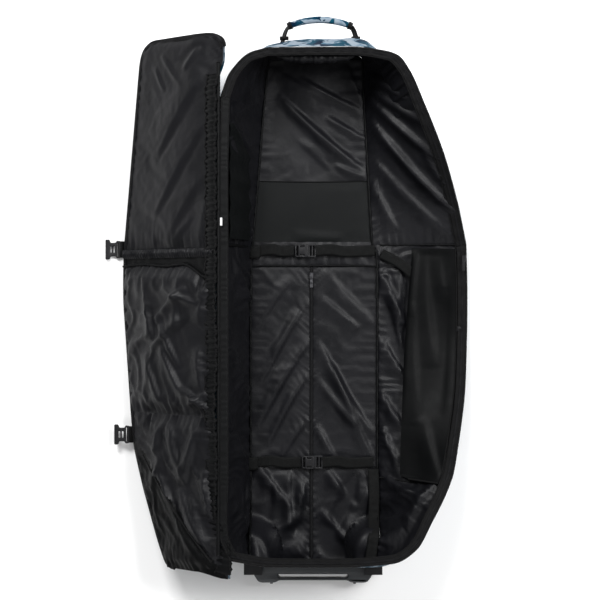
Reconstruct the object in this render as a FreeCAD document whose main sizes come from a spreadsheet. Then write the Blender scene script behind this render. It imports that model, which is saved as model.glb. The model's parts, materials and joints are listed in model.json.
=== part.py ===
import FreeCAD, Part
import os

import Sketcher
from FreeCAD import Placement, Rotation, Vector

# A wheeled snowboard bag lying open on its back. +Z is up, +Y runs from the wheels towards the carry handle, and
# the origin is the middle of the underside of the centre skid rail. Millimetres and degrees throughout.

doc = FreeCAD.newDocument("BoardBag")
sheet = doc.addObject("Spreadsheet::Sheet", "Dim")

DIMENSIONS = [
    # back panel, seen from above
    ("base_half", 182, "half width of the back panel along its straight part"),
    ("taper_start", 110, "where the sides start to close in towards the head"),
    ("taper_end", 660, "where the sides stop closing in"),
    ("head_half", 132, "half width of the back panel at the end of the taper"),
    ("head_corner", 80, "half width of the straight head edge"),
    ("head_end", 730, "head edge of the back panel"),
    ("foot_end", 716, "foot edge of the back panel, towards the wheels"),
    ("lining_inset", 12, "how far board, foam and linings stay inside the outer fabric"),
    # layers of the back panel, from the floor up
    ("skid_thick", 6, "skid rail"),
    ("skin_thick", 2, "outer fabric"),
    ("board_thick", 3, "stiffening board"),
    ("foam_thick", 7, "padding"),
    ("lining_thick", 2, "lining"),
    # skid rails
    ("skid_width", 30, "width of a skid rail"),
    ("skid_length", 1200, "length of a skid rail"),
    ("skid_pitch", 105, "distance between skid rails"),
    ("rivet_pitch", 380, "distance between rivets along a rail"),
    ("rivet_head", 5, "radius of a rivet head"),
    ("rivet_shank", 2.5, "radius of a rivet shank"),
    # side walls
    ("wall_axis_x", 185, "where each side wall is sewn to the back panel"),
    ("wall_axis_z", 12, "height of that seam"),
    ("wall_gap", 5, "distance from the seam to the stiff part of a wall"),
    ("wall_half", 4, "half thickness of a padded wall"),
    ("left_lean", 15.7, "left wall, degrees outward from upright"),
    ("left_height", 247.3, "left wall, seam to lid hinge"),
    ("left_foot", 640, "foot end of the left wall"),
    ("left_head", 640, "head end of the left wall"),
    ("right_lean", 79.7, "right wall, degrees outward from upright"),
    ("right_height", 240, "right wall, seam to rim"),
    ("right_foot", 250, "foot end of the stiff part of the right wall"),
    ("right_head", 290, "head end of the stiff part of the right wall"),
    ("cross_seam", 172, "seam across both walls"),
    ("rim_height", 236, "height of the head and foot rims"),
    ("corner_height", 205, "height of the wall corners beside the lid hinge"),
    # lid
    ("hinge_radius", 5.5, "radius of the piping on the lid hinge"),
    ("lid_turn", 138.7, "lid, degrees turned from flat over the bag"),
    ("lid_gap", 9, "distance from the hinge to the lid"),
    ("lid_half", 4, "half thickness of the lid"),
    ("lid_width", 363.5, "greatest width of the lid"),
    ("lid_head", 731, "head edge of the lid"),
    ("lid_foot", 702, "foot edge of the lid"),
    ("lid_upper_seam", 106, "seam between upper and middle lid lining"),
    ("lid_lower_seam", -286, "seam between middle and lower lid lining"),
    ("lid_seam", 0.5, "half the gap between two lid linings"),
    ("binding", 3, "width of the edge binding"),
    # webbing and buckles
    ("cinch_width", 30, "width of the inner webbing"),
    ("webbing_thick", 1.6, "thickness of all webbing"),
    ("upper_cinch", 161, "place of the upper inner strap"),
    ("lower_cinch", -427, "place of the lower inner strap"),
    ("side_webbing_width", 50, "width of the compression webbing"),
    ("upper_side_strap", 165, "place of the upper compression strap"),
    ("lower_side_strap", -350, "place of the lower compression strap"),
    ("side_buckle_gap", 12.5, "from the lid's edge to a compression buckle"),
    ("side_buckle_length", 42, "length of a compression buckle"),
    ("buckle_fit", 0.35, "clearance of a buckle tongue in its socket"),
    # wheels
    ("wheel_radius", 38, "wheel"),
    ("wheel_width", 28, "wheel"),
    ("wheel_x", 165, "middle of each wheel"),
    ("wheel_y", -690, "wheel axle"),
    ("wheel_z", 40, "wheel axle"),
    ("hub_radius", 27, "wheel hub"),
    ("axle_radius", 4, "wheel axle"),
    ("axle_fit", 0.05, "running clearance of the axle"),
    ("housing_wall", 6, "wall of a wheel housing"),
    ("housing_half", 25, "half width of a wheel housing"),
    ("housing_foot", -730, "foot face of a wheel housing"),
    ("housing_head", -640, "head face of a wheel housing"),
    ("housing_top", 90, "top of a wheel housing"),
    # grab handle at the foot
    ("grab_half", 174, "half width of the grab handle where it starts"),
    ("grab_outer_half", 150, "half width of the grab handle at its outer edge"),
    ("grab_outer", -757, "outer edge of the grab handle"),
    ("grab_low", 28, "underside of the grab handle"),
    ("grab_thick", 36, "height of the grab handle"),
    ("slot_half", 96, "half width of the finger slot"),
    ("slot_near", -724, "near edge of the finger slot"),
    ("slot_far", -744, "far edge of the finger slot"),
    # carry handle at the head
    ("carry_x", 18, "middle of the carry handle"),
    ("carry_y", 743, "where the carry handle swings"),
    ("carry_z", 130, "height of the carry handle"),
    ("carry_reach", 38, "from the swing axis to the middle of the grip"),
    ("leg_width", 20, "width of the carry handle's webbing"),
    ("grip_half", 80, "half length of the grip"),
    ("grip_radius", 12, "radius of the grip"),
    # zips
    ("zip_x", -4, "place of the pocket zip"),
    ("zip_tape_width", 26, "width of the pocket zip tape"),
    ("pull_length", 33, "length of a zip pull"),
]
for row, (alias, number, meaning) in enumerate(DIMENSIONS, start=1):
    sheet.set(f"A{row}", meaning)
    sheet.set(f"B{row}", str(number))
    sheet.setAlias(f"B{row}", alias)
doc.recompute()

subparts = []


def value(expression):
    """The number that an expression over the sheet comes to."""
    return float(sheet.evalExpression(str(expression)))


def keep(thing, label):
    """Names a finished sub-part."""
    thing.Label = label
    subparts.append(thing)
    return thing


def place(thing, x=0, y=0, z=0, axis=None, angle=0):
    """Binds where a sub-part stands, and how far it is turned about one axis."""
    if axis is not None:
        thing.Placement = Placement(Vector(), Rotation(axis, 10))
        thing.setExpression("Placement.Rotation.Angle", str(angle))
    for name, expression in (("x", x), ("y", y), ("z", z)):
        thing.setExpression(f"Placement.Base.{name}", str(expression))
    return thing


def outline_sketch(body, name, role, corners):
    """A closed outline of straight sides, each corner bound to the sheet, on one of the body's own planes."""
    sketch = body.newObject("Sketcher::SketchObject", name)
    plane = next(f for f in body.Origin.OriginFeatures if f.Role == role)
    sketch.AttachmentSupport = [(plane, "")]
    sketch.MapMode = "FlatFace"
    points = [Vector(value(x), value(y), 0) for x, y in corners]
    for start, end in zip(points, points[1:] + points[:1]):
        sketch.addGeometry(Part.LineSegment(start, end), False)
    count = len(points)
    for i in range(count):
        sketch.addConstraint(Sketcher.Constraint("Coincident", i, 2, (i + 1) % count, 1))
    for i, corner in enumerate(corners):
        for kind, expression in zip(("DistanceX", "DistanceY"), corner):
            limit = Sketcher.Constraint(kind, -1, 1, i, 1, value(expression))
            index = sketch.addConstraint(limit)
            sketch.setExpression(f"Constraints[{index}]", str(expression))
    return sketch


def rectangle(x0, x1, y0, y1):
    return [(x0, y0), (x1, y0), (x1, y1), (x0, y1)]


def padded_outline(label, corners, thickness, rounding=0, role="XY_Plane", cut=None):
    """A body padded from an outline, its upright edges rounded, with an opening cut through if asked for."""
    body = doc.addObject("PartDesign::Body", "Body")
    sketch = outline_sketch(body, "Outline", role, corners)
    pad = body.newObject("PartDesign::Pad", "Thickness")
    pad.Profile = sketch
    pad.setExpression("Length", str(thickness))
    sketch.Visibility = False
    doc.recompute()
    last = pad
    if rounding:
        direction = {"XY_Plane": Vector(0, 0, 1), "YZ_Plane": Vector(1, 0, 0)}[role]
        upright = [
            f"Edge{i}"
            for i, edge in enumerate(pad.Shape.Edges, start=1)
            if abs(abs(edge.tangentAt(edge.FirstParameter).dot(direction)) - 1) < 1e-6
        ]
        last = body.newObject("PartDesign::Fillet", "Corners")
        last.Base = (pad, upright)
        last.setExpression("Radius", str(rounding))
        doc.recompute()
    if cut:
        before = last.Shape.Volume
        window = outline_sketch(body, "Opening", role, cut)
        last = body.newObject("PartDesign::Pocket", "Cut")
        last.Profile = window
        last.Type = "ThroughAll"
        last.Midplane = True
        doc.recompute()
        if last.Shape.Volume >= before:
            raise RuntimeError(f"{label}: the opening cuts nothing")
    body.Tip = last
    return keep(body, label)


def block(length, width, height, x, y, z):
    """A Part box whose sizes and place are bound to the sheet."""
    box = doc.addObject("Part::Box", "Block")
    for name, expression in (("Length", length), ("Width", width), ("Height", height)):
        box.setExpression(name, str(expression))
    return place(box, x, y, z)


def round_bar(radius, length, x, y, z, axis=None, angle=0):
    """A Part cylinder bound to the sheet: along Z, or turned."""
    bar = doc.addObject("Part::Cylinder", "Bar")
    bar.setExpression("Radius", str(radius))
    bar.setExpression("Height", str(length))
    return place(bar, x, y, z, axis, angle)


def group(label, things):
    """Several separate solids of one kind, as one sub-part."""
    compound = doc.addObject("Part::Compound", "Group")
    compound.Links = things
    return keep(compound, label)


def cut(base, tool):
    result = doc.addObject("Part::Cut", "Cut")
    result.Base = base
    result.Tool = tool
    return result


def fuse(things):
    result = doc.addObject("Part::MultiFuse", "Fuse")
    result.Shapes = things
    return result


ACROSS = Vector(1, 0, 0)
ALONG = Vector(0, 1, 0)
UP = Vector(0, 0, 1)

BOARD_Z = "Dim.skid_thick + Dim.skin_thick"
FOAM_Z = f"{BOARD_Z} + Dim.board_thick"
LINING_Z = f"{FOAM_Z} + Dim.foam_thick"
STRAP_Z = f"{LINING_Z} + 4"
BUCKLE_Z = f"{STRAP_Z} + Dim.webbing_thick + 0.4"


def back_outline(inset, tapered):
    """The back panel's outline, notched at the foot for the wheel housings. The stiff layers taper to the head."""
    side = f"(Dim.base_half - {inset})"
    head = f"(Dim.head_half - {inset})" if tapered else side
    notch = "(Dim.wheel_x - Dim.housing_half - 1)"
    start = "Dim.taper_start" if tapered else "0"
    end = f"Dim.taper_end - {inset}" if tapered else "Dim.left_head"
    return [
        (f"-{notch}", f"-(Dim.foot_end - {inset})"),
        (notch, f"-(Dim.foot_end - {inset})"),
        (notch, "Dim.housing_head + 2"),
        (side, "Dim.housing_head + 2"),
        (side, start),
        (head, end),
        ("Dim.head_corner", f"Dim.head_end - {inset}"),
        ("-Dim.head_corner", f"Dim.head_end - {inset}"),
        (f"-{head}", end),
        (f"-{side}", start),
        (f"-{side}", "Dim.housing_head + 2"),
        (f"-{notch}", "Dim.housing_head + 2"),
    ]


def back_panel():
    skin = padded_outline("base_fabric", back_outline("0", False), "Dim.skin_thick")
    place(skin, z="Dim.skid_thick")
    board = padded_outline("base_board", back_outline("Dim.lining_inset", True), "Dim.board_thick")
    place(board, z=BOARD_Z)
    foam = padded_outline("base_foam", back_outline("Dim.lining_inset", True), "Dim.foam_thick")
    place(foam, z=FOAM_Z)


def skid_rails():
    """Three plastic rails, each held by rivets whose heads sit in counterbores."""
    rails = []
    rivets = []
    for column in (-1, 0, 1):
        left = f"{column} * Dim.skid_pitch - Dim.skid_width / 2"
        foot = "20 - Dim.skid_length / 2"
        rail = block("Dim.skid_width", "Dim.skid_length", "Dim.skid_thick", left, foot, 0)
        tools = []
        for line in (-1, 1):
            x = f"{column} * Dim.skid_pitch"
            y = f"{line} * Dim.rivet_pitch"
            tools.append(round_bar("Dim.rivet_head + 0.5", "Dim.skid_thick / 2", x, y, 0))
            tools.append(round_bar("Dim.rivet_shank", "Dim.skid_thick", x, y, 0))
            rivet_head = round_bar("Dim.rivet_head", "Dim.skid_thick / 2 - 1", x, y, 1)
            shank = round_bar("Dim.rivet_shank", "Dim.skid_thick - 1", x, y, 1)
            rivets.append(fuse([rivet_head, shank]))
        rails.append(cut(rail, fuse(tools)))
    group("skid_rails", rails)
    group("skid_rivets", rivets)


def floor_linings():
    """What the inside of the back panel shows, from the head down to the foot."""
    side = "Dim.base_half - Dim.lining_inset - 4"
    slope = "((Dim.base_half - Dim.head_half) / (Dim.taper_end - Dim.taper_start))"

    def half_at(y):
        return f"({side} - ({y} - Dim.taper_start) * {slope})"

    head_top = "Dim.head_end - Dim.lining_inset - 4"
    lining = padded_outline(
        "head_lining",
        [
            (f"-{half_at('355')}", "355"),
            (half_at("355"), "355"),
            (half_at("(Dim.taper_end - 16)"), "Dim.taper_end - 16"),
            ("Dim.head_corner", head_top),
            ("-Dim.head_corner", head_top),
            (f"-{half_at('(Dim.taper_end - 16)')}", "Dim.taper_end - 16"),
        ],
        "Dim.lining_thick",
    )
    place(lining, z=LINING_Z)
    patch = rectangle("-148", "148", "184", "354")
    smooth = padded_outline("smooth_panel", patch, "Dim.lining_thick + 1.5", 4)
    place(smooth, z=LINING_Z)
    seam = "(Dim.zip_tape_width / 2 + 0.5)"
    halves = []
    for sign, inner in ((-1, f"Dim.zip_x - {seam}"), (1, f"Dim.zip_x + {seam}")):
        foot = f"{sign} * (Dim.wheel_x - Dim.housing_half - 6)"
        outer = f"{sign} * ({side})"
        half = doc.addObject("PartDesign::Body", "PocketHalf")
        corners = [
            (inner, "-700"),
            (foot, "-700"),
            (foot, "Dim.housing_head + 6"),
            (outer, "Dim.housing_head + 6"),
            (outer, "Dim.taper_start"),
            (inner, "Dim.taper_start"),
        ]
        pad = half.newObject("PartDesign::Pad", "Thickness")
        pad.Profile = outline_sketch(half, "Outline", "XY_Plane", corners)
        pad.setExpression("Length", "Dim.lining_thick + 1")
        half.Tip = pad
        halves.append(place(half, z=LINING_Z))
    group("zip_pocket_panels", halves)
    tape_x = "Dim.zip_x - Dim.zip_tape_width / 2"
    tape = block("Dim.zip_tape_width", "Dim.taper_start + 690", "Dim.lining_thick", tape_x, "-690", LINING_Z)
    keep(tape, "zip_pocket_tape")


def end_panel(label, profile, half_width, x):
    """A padded end wall: its bent profile, seen from the side, padded across the bag."""
    wall = padded_outline(label, profile, f"2 * {half_width}", role="YZ_Plane")
    return place(wall, x=f"{x} - {half_width}")


def end_panels():
    head = [
        ("728", "Dim.wall_axis_z"),
        ("732", "60"),
        ("732", "152"),
        ("702", "Dim.rim_height"),
        ("694", "Dim.rim_height"),
        ("724", "150"),
        ("724", "60"),
        ("720", "Dim.wall_axis_z"),
    ]
    end_panel("head_end_panel", head, 88, 4)
    foot = [
        ("-717", "Dim.wall_axis_z"),
        ("-717", "72"),
        ("-727", "135"),
        ("-690", "Dim.rim_height"),
        ("-682", "Dim.rim_height"),
        ("-719", "133"),
        ("-709", "72"),
        ("-709", "Dim.wall_axis_z"),
    ]
    end_panel("foot_end_panel", foot, 136, 0)


def gusset(stations, thickness):
    """A soft wall through stations, each an outer seam point and an outer rim point, with ruled faces between."""
    wires = []
    for i, (seam, rim) in enumerate(stations):
        before = stations[max(i - 1, 0)]
        after = stations[min(i + 1, len(stations) - 1)]
        run = (after[0] + after[1]) - (before[0] + before[1])
        inward = run.cross(rim - seam)
        inward.normalize()
        if inward.dot(Vector(seam.x, seam.y, 0)) > 0:
            inward = -inward
        inward = inward * thickness
        wires.append(Part.makePolygon([seam, rim, rim + inward, seam + inward, seam]))
    return Part.makeLoft(wires, True, True)


def corner_gussets():
    """The soft corners between the end panels and the side walls. They stand high beside the lid hinge, and on
    the other side they lie lower and lower towards the middle of the bag, where the wall has fallen open."""
    low = value("Dim.wall_axis_z")
    top = value("Dim.rim_height")
    corner = value("Dim.corner_height")
    side = value("Dim.wall_axis_x")
    over_wheels = value("Dim.housing_top + 5")
    right_head = value("Dim.right_head + 5")
    right_foot = -value("Dim.right_foot + 4")
    left_head = value("Dim.left_head + 10")
    left_foot = -value("Dim.left_foot + 4")
    head_right = [
        (Vector(93, 728, low), Vector(93, 702, top)),
        (Vector(150, 712, low), Vector(170, 692, 228)),
        (Vector(190, 644, low), Vector(246, 648, 214)),
        (Vector(191, 550, low), Vector(292, 552, 194)),
        (Vector(191, 427, low), Vector(348, 427, 148)),
        (Vector(191, right_head, low), Vector(394, right_head, 88)),
    ]
    head_left = [
        (Vector(-85, 728, low), Vector(-85, 702, top)),
        (Vector(-140, 716, low), Vector(-170, 700, corner)),
        (Vector(-side - 2, left_head, low), Vector(-246, left_head, corner)),
    ]
    foot_right = [
        (Vector(137, -728, over_wheels), Vector(137, -690, top)),
        (Vector(199, -731, over_wheels), Vector(226, -680, 222)),
        (Vector(200, -646, over_wheels), Vector(272, -646, 217)),
        (Vector(193, -590, low), Vector(300, -590, 214)),
        (Vector(190, -490, low), Vector(352, -490, 180)),
        (Vector(190, -372, low), Vector(388, -372, 137)),
        (Vector(190, right_foot, low), Vector(408, right_foot, 97)),
    ]
    foot_left = [
        (Vector(-137, -728, over_wheels), Vector(-137, -690, top)),
        (Vector(-199, -731, over_wheels), Vector(-228, -686, corner)),
        (Vector(-203, left_foot, over_wheels), Vector(-244, left_foot, corner)),
    ]
    thickness = 2 * value("Dim.wall_half") - 1
    for label, sides in (("head_gussets", (head_right, head_left)), ("foot_gussets", (foot_right, foot_left))):
        feature = doc.addObject("Part::Feature", "Gusset")
        feature.Shape = Part.makeCompound([gusset(stations, thickness) for stations in sides])
        feature.Placement = Placement()
        keep(feature, label)


def left_wall():
    """The wall that carries the lid hinge. Each panel is drawn with X up the wall and Z outward."""
    turn = "-90 - Dim.left_lean"

    def stand(thing, lift):
        """Stands a panel on the wall's seam, its lower face this far outside the wall's middle."""
        x = f"-Dim.wall_axis_x - ({lift}) * cos(Dim.left_lean)"
        z = f"Dim.wall_axis_z - ({lift}) * sin(Dim.left_lean)"
        return place(thing, x=x, z=z, axis=ALONG, angle=turn)

    top = "Dim.left_height - Dim.hinge_radius - 0.5"
    whole = rectangle("Dim.wall_gap", top, "-Dim.left_foot", "Dim.left_head")
    stand(padded_outline("left_wall_fabric", whole, "Dim.wall_half + 2"), "-2")
    upper = rectangle("Dim.wall_gap + 6", top, "Dim.cross_seam + 1", "Dim.left_head")
    stand(padded_outline("left_upper_lining", upper, "2"), "-4")
    lower = rectangle("Dim.wall_gap + 6", top, "-Dim.left_foot", "Dim.cross_seam - 1")
    stand(padded_outline("left_lower_lining", lower, "2"), "-4")
    pocket = [("30", "200"), ("30", "470"), ("150", "520"), ("215", "500"), ("215", "200")]
    stand(padded_outline("left_wall_pocket", pocket, "1.5"), "-5.5")
    hinge_x = "-Dim.wall_axis_x - Dim.left_height * sin(Dim.left_lean)"
    hinge_z = "Dim.wall_axis_z + Dim.left_height * cos(Dim.left_lean)"
    length = "Dim.left_foot + Dim.left_head + 30"
    piping = round_bar("Dim.hinge_radius", length, hinge_x, "Dim.left_head + 15", hinge_z, ACROSS, 90)
    keep(piping, "hinge_piping")


LID_OUTLINE = [
    ("Dim.lid_gap", "-Dim.lid_foot"),
    ("190", "-Dim.lid_foot"),
    ("225", "-634"),
    ("284", "-491"),
    ("321", "-382"),
    ("333", "Dim.lid_lower_seam"),
    ("Dim.lid_width - 8", "-60"),
    ("Dim.lid_width", "20"),
    ("Dim.lid_width", "Dim.lid_upper_seam"),
    ("Dim.lid_width - 3", "167"),
    ("297", "680"),
    ("285", "712"),
    ("255", "Dim.lid_head"),
    ("40", "Dim.lid_head"),
    ("Dim.lid_gap", "700"),
]


def on_lid(thing, lift, out="0", y="0"):
    """Puts a piece drawn for the closed lid where the open lid holds it: X away from the hinge, Z outward."""
    hinge_x = "-Dim.wall_axis_x - Dim.left_height * sin(Dim.left_lean)"
    hinge_z = "Dim.wall_axis_z + Dim.left_height * cos(Dim.left_lean)"
    x = f"{hinge_x} + ({out}) * cos(Dim.lid_turn) + ({lift}) * sin(Dim.lid_turn)"
    z = f"{hinge_z} - ({out}) * sin(Dim.lid_turn) + ({lift}) * cos(Dim.lid_turn)"
    return place(thing, x=x, y=y, z=z, axis=ALONG, angle="Dim.lid_turn")


def lid():
    on_lid(padded_outline("lid_fabric", LID_OUTLINE, "1.5"), "Dim.lid_half - 1.5")
    on_lid(padded_outline("lid_foam", LID_OUTLINE, "4.5"), "-2")
    upper_start = "Dim.lid_upper_seam + Dim.lid_seam"
    middle_end = "Dim.lid_upper_seam - Dim.lid_seam"
    middle_start = "Dim.lid_lower_seam + Dim.lid_seam"
    lower_end = "Dim.lid_lower_seam - Dim.lid_seam"
    upper = LID_OUTLINE[9:] + [("Dim.lid_gap", upper_start), ("Dim.lid_width - 1", upper_start)]
    middle = [
        ("Dim.lid_gap", middle_end),
        ("Dim.lid_gap", middle_start),
        ("333", middle_start),
        ("Dim.lid_width - 8", "-60"),
        ("Dim.lid_width", "20"),
        ("Dim.lid_width", middle_end),
    ]
    lower = LID_OUTLINE[:5] + [("333", lower_end), ("Dim.lid_gap", lower_end)]
    on_lid(padded_outline("lid_upper_lining", upper, "Dim.lining_thick"), "-Dim.lid_half")
    on_lid(padded_outline("lid_middle_lining", middle, "Dim.lining_thick"), "-Dim.lid_half")
    on_lid(padded_outline("lid_lower_lining", lower, "Dim.lining_thick"), "-Dim.lid_half")
    tape = padded_outline("lid_zip_tape", rectangle("Dim.lid_gap", "34", "-680", "690"), "1.5")
    on_lid(tape, "-Dim.lid_half - 1.5")


def lid_binding():
    """A strip round the lid's free edges, as thick as the lid."""
    corners = [Vector(value(x), value(y), 0) for x, y in LID_OUTLINE]
    inner = Part.Face(Part.makePolygon(corners + corners[:1]))
    outer = inner.makeOffset2D(value("Dim.binding"), 2)
    free_side = Part.makeBox(1000, 2000, 100, Vector(value("Dim.lid_gap"), -1000, -50))
    strip = outer.cut(inner).extrude(Vector(0, 0, value("2 * Dim.lid_half"))).common(free_side)
    feature = doc.addObject("Part::Feature", "Binding")
    feature.Shape = strip.Solids[0]
    on_lid(feature, "-Dim.lid_half")
    keep(feature, "lid_binding")


def compression_straps():
    """Wide webbing on the lid's outer face, and a free open-frame half-buckle at the end of each strap."""
    hinge_x = "-Dim.wall_axis_x - Dim.left_height * sin(Dim.left_lean)"
    webbing = []
    for name, middle, edge, height in (
        ("upper", "Dim.upper_side_strap", "Dim.lid_width", "2.5"),
        ("lower", "Dim.lower_side_strap", "328", "23"),
    ):
        band = block("110", "Dim.side_webbing_width", "Dim.webbing_thick", 0, 0, 0)
        start = f"{edge} - 110"
        near = f"{middle} - Dim.side_webbing_width / 2"
        webbing.append(on_lid(band, "Dim.lid_half + 0.05", start, near))
        half = [
            ("0", "24"),
            ("10", "26"),
            ("14", "17"),
            ("28", "17"),
            ("30", "27"),
            ("Dim.side_buckle_length", "28"),
        ]
        frame = half + [(out, f"-{across}") for out, across in reversed(half)]
        window = rectangle("11", "32", "-11", "11")
        buckle = padded_outline(f"{name}_side_buckle", frame, "8", cut=window)
        x = f"{hinge_x} + {edge} * cos(Dim.lid_turn) - Dim.side_buckle_gap"
        place(buckle, x=x, y=middle, z=height, axis=UP, angle="180")
    group("lid_webbing", webbing)


def right_wall():
    """The wall that has fallen outward. Each panel is drawn with X up the wall and Z inward."""
    turn = "Dim.right_lean - 90"

    def stand(thing, lift, out="0", y="0"):
        x = f"Dim.wall_axis_x + ({out}) * sin(Dim.right_lean) - ({lift}) * cos(Dim.right_lean)"
        z = f"Dim.wall_axis_z + ({out}) * cos(Dim.right_lean) + ({lift}) * sin(Dim.right_lean)"
        return place(thing, x=x, y=y, z=z, axis=ALONG, angle=turn)

    whole = rectangle("Dim.wall_gap", "Dim.right_height", "-Dim.right_foot", "Dim.right_head")
    stand(padded_outline("right_wall_fabric", whole, "Dim.wall_half + 2"), "-Dim.wall_half")
    rim = "Dim.right_height - 16"
    upper = rectangle("Dim.wall_gap + 6", rim, "Dim.cross_seam + 1", "Dim.right_head")
    stand(padded_outline("right_upper_lining", upper, "2"), "2")
    lower = rectangle("Dim.wall_gap + 6", rim, "-Dim.right_foot", "Dim.cross_seam - 1")
    stand(padded_outline("right_lower_lining", lower, "2"), "2")
    pocket = rectangle("100", "Dim.right_height - 22", "-Dim.right_foot", "Dim.cross_seam - 14")
    stand(padded_outline("right_wall_pocket", pocket, "2"), "Dim.wall_half")
    tape = rectangle("Dim.right_height - 15", "Dim.right_height", "-Dim.right_foot", "Dim.right_head")
    stand(padded_outline("rim_zip_tape", tape, "2"), "2")
    coil = rectangle("Dim.right_height - 5", "Dim.right_height - 1", "-Dim.right_foot", "Dim.right_head")
    stand(padded_outline("rim_zip_coil", coil, "1.6"), "Dim.wall_half")
    tail = padded_outline(
        "upper_strap_tail",
        [("8", "-38"), ("92", "-92"), ("96", "-78"), ("14", "-14")],
        "Dim.webbing_thick",
    )
    stand(tail, "Dim.wall_half + 0.1", "0", "Dim.upper_cinch")
    slider_out = "Dim.right_height - 8"
    slider = padded_outline("main_slider", rectangle("0", "9", "-9", "9"), "5", 2)
    stand(slider, "Dim.wall_half + 2", slider_out, "138")
    pull = padded_outline("main_pull", rectangle("1", "8", "-Dim.pull_length", "0.8"), "1.6", 1)
    stand(pull, "Dim.wall_half + 7.4", slider_out, "138")


def cinch_straps():
    """Two straps across the inside, each with a side-release buckle. Its tongue slides out of the socket."""
    for name, y, x in (("upper", "Dim.upper_cinch", "-19"), ("lower", "Dim.lower_cinch", "0")):
        half = "Dim.base_half - Dim.lining_inset - 6"
        near = f"{y} - Dim.cinch_width / 2"
        left = block(f"{half} + {x} - 1", "Dim.cinch_width", "Dim.webbing_thick", f"-({half})", near, STRAP_Z)
        right = block(f"{half} - {x} - 1", "Dim.cinch_width", "Dim.webbing_thick", f"{x} + 1", near, STRAP_Z)
        group(f"{name}_cinch_strap", [left, right])

        shell = block("36", "38", "10", f"{x} - 31", f"{y} - 19", BUCKLE_Z)
        throat = block("27", "28", "5", f"{x} - 22", f"{y} - 14", f"{BUCKLE_Z} + 2.5")
        windows = block("14", "40", "5", f"{x} - 18", f"{y} - 20", f"{BUCKLE_Z} + 2.5")
        keep(cut(shell, fuse([throat, windows])), f"{name}_buckle_socket")

        fit = "Dim.buckle_fit"
        grip = block("22", "38", "9", f"{x} + 5.4", f"{y} - 19", f"{BUCKLE_Z} + 0.5")
        inner = f"(14 - {fit})"
        under = f"{BUCKLE_Z} + 2.5 + {fit}"
        blade = block("26.4", f"2 * {inner}", f"5 - 2 * {fit}", f"{x} - 20.6", f"{y} - {inner}", under)
        gaps = [block("20", "5", "12", f"{x} - 21", f"{y} - 2.5 + ({side})", BUCKLE_Z) for side in (-6.5, 6.5)]
        keep(cut(fuse([grip, blade]), fuse(gaps)), f"{name}_buckle_tongue")
    near = "Dim.housing_head + 4"
    length = f"Dim.lower_cinch - Dim.cinch_width / 2 - 2 - ({near})"
    keep(block("34", length, "Dim.webbing_thick", "130", near, STRAP_Z), "side_webbing")


def pocket_zip():
    """The slider on the zip pocket's coil, with its pull laid flat towards the foot."""
    top = f"{LINING_Z} + Dim.lining_thick"
    slider = padded_outline("pocket_slider", rectangle("-5", "5", "-8", "8"), "5", 2)
    place(slider, x="Dim.zip_x", y="92", z=f"{top} + 0.4")
    pull = padded_outline("pocket_pull", rectangle("-4", "4", "-Dim.pull_length", "0.8"), "1.6", 1)
    place(pull, x="Dim.zip_x", y="92", z=f"{top} + 5.8")


def wheels():
    """A tyre on a hub, turning on an axle that crosses a moulded housing at each foot corner."""
    axles = []
    for name, sign in (("left", -1), ("right", 1)):
        middle = f"{sign} * Dim.wheel_x"
        y, z = "Dim.wheel_y", "Dim.wheel_z"
        half = "Dim.wheel_width / 2"
        start = f"{middle} - {half}"
        rim = round_bar("Dim.wheel_radius", "Dim.wheel_width", start, y, z, ALONG, 90)
        bore = round_bar("Dim.hub_radius", "Dim.wheel_width", start, y, z, ALONG, 90)
        tyre = doc.addObject("Part::Fillet", "Tyre")
        tyre.Base = cut(rim, bore)
        doc.recompute()
        tread = value("Dim.wheel_radius")
        tyre.Edges = [
            (i, 5, 5)
            for i, edge in enumerate(tyre.Base.Shape.Edges, start=1)
            if hasattr(edge.Curve, "Radius") and abs(edge.Curve.Radius - tread) < 1e-6
        ]
        keep(tyre, f"{name}_tyre")
        hub = round_bar("Dim.hub_radius", "Dim.wheel_width - 4", f"{start} + 2", y, z, ALONG, 90)
        running = round_bar("Dim.axle_radius + Dim.axle_fit", "Dim.wheel_width", start, y, z, ALONG, 90)
        keep(cut(hub, running), f"{name}_hub")
        side = f"{middle} - Dim.housing_half"
        width = "2 * Dim.housing_half"
        length = "Dim.housing_head - Dim.housing_foot"
        shell = block(width, length, "Dim.housing_top - 8", side, "Dim.housing_foot", 8)
        well_width = f"{width} - 2 * Dim.housing_wall"
        well = block(well_width, "84", "82", f"{side} + Dim.housing_wall", "Dim.housing_foot - 1", 0)
        hole = round_bar("Dim.axle_radius", width, side, y, z, ALONG, 90)
        keep(cut(shell, fuse([well, hole])), f"{name}_wheel_housing")
        axles.append(round_bar("Dim.axle_radius", width, side, y, z, ALONG, 90))
    group("wheel_axles", axles)


def grab_handle():
    """A moulded handle across the foot, with a finger slot, screwed to the foot panel through its back plate."""
    near = "-718"
    back = "(Dim.wheel_x - Dim.housing_half - 4)"
    shape = [
        (f"-{back}", near),
        (back, near),
        (back, "Dim.housing_foot - 1"),
        ("Dim.grab_half", "Dim.housing_foot - 1"),
        ("Dim.grab_outer_half", "Dim.grab_outer"),
        ("-Dim.grab_outer_half", "Dim.grab_outer"),
        ("-Dim.grab_half", "Dim.housing_foot - 1"),
        (f"-{back}", "Dim.housing_foot - 1"),
    ]
    slot = rectangle("-Dim.slot_half", "Dim.slot_half", "Dim.slot_far", "Dim.slot_near")
    handle = padded_outline("grab_handle", shape, "Dim.grab_thick", cut=slot)
    place(handle, z="Dim.grab_low")
    screws = []
    for x in (-115, 115):
        for z in (0.3, 0.7):
            height = f"Dim.grab_low + {z} * Dim.grab_thick"
            screws.append(round_bar("4", "3", x, "Dim.grab_outer", height, ACROSS, 90))
    group("grab_handle_screws", screws)


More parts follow.
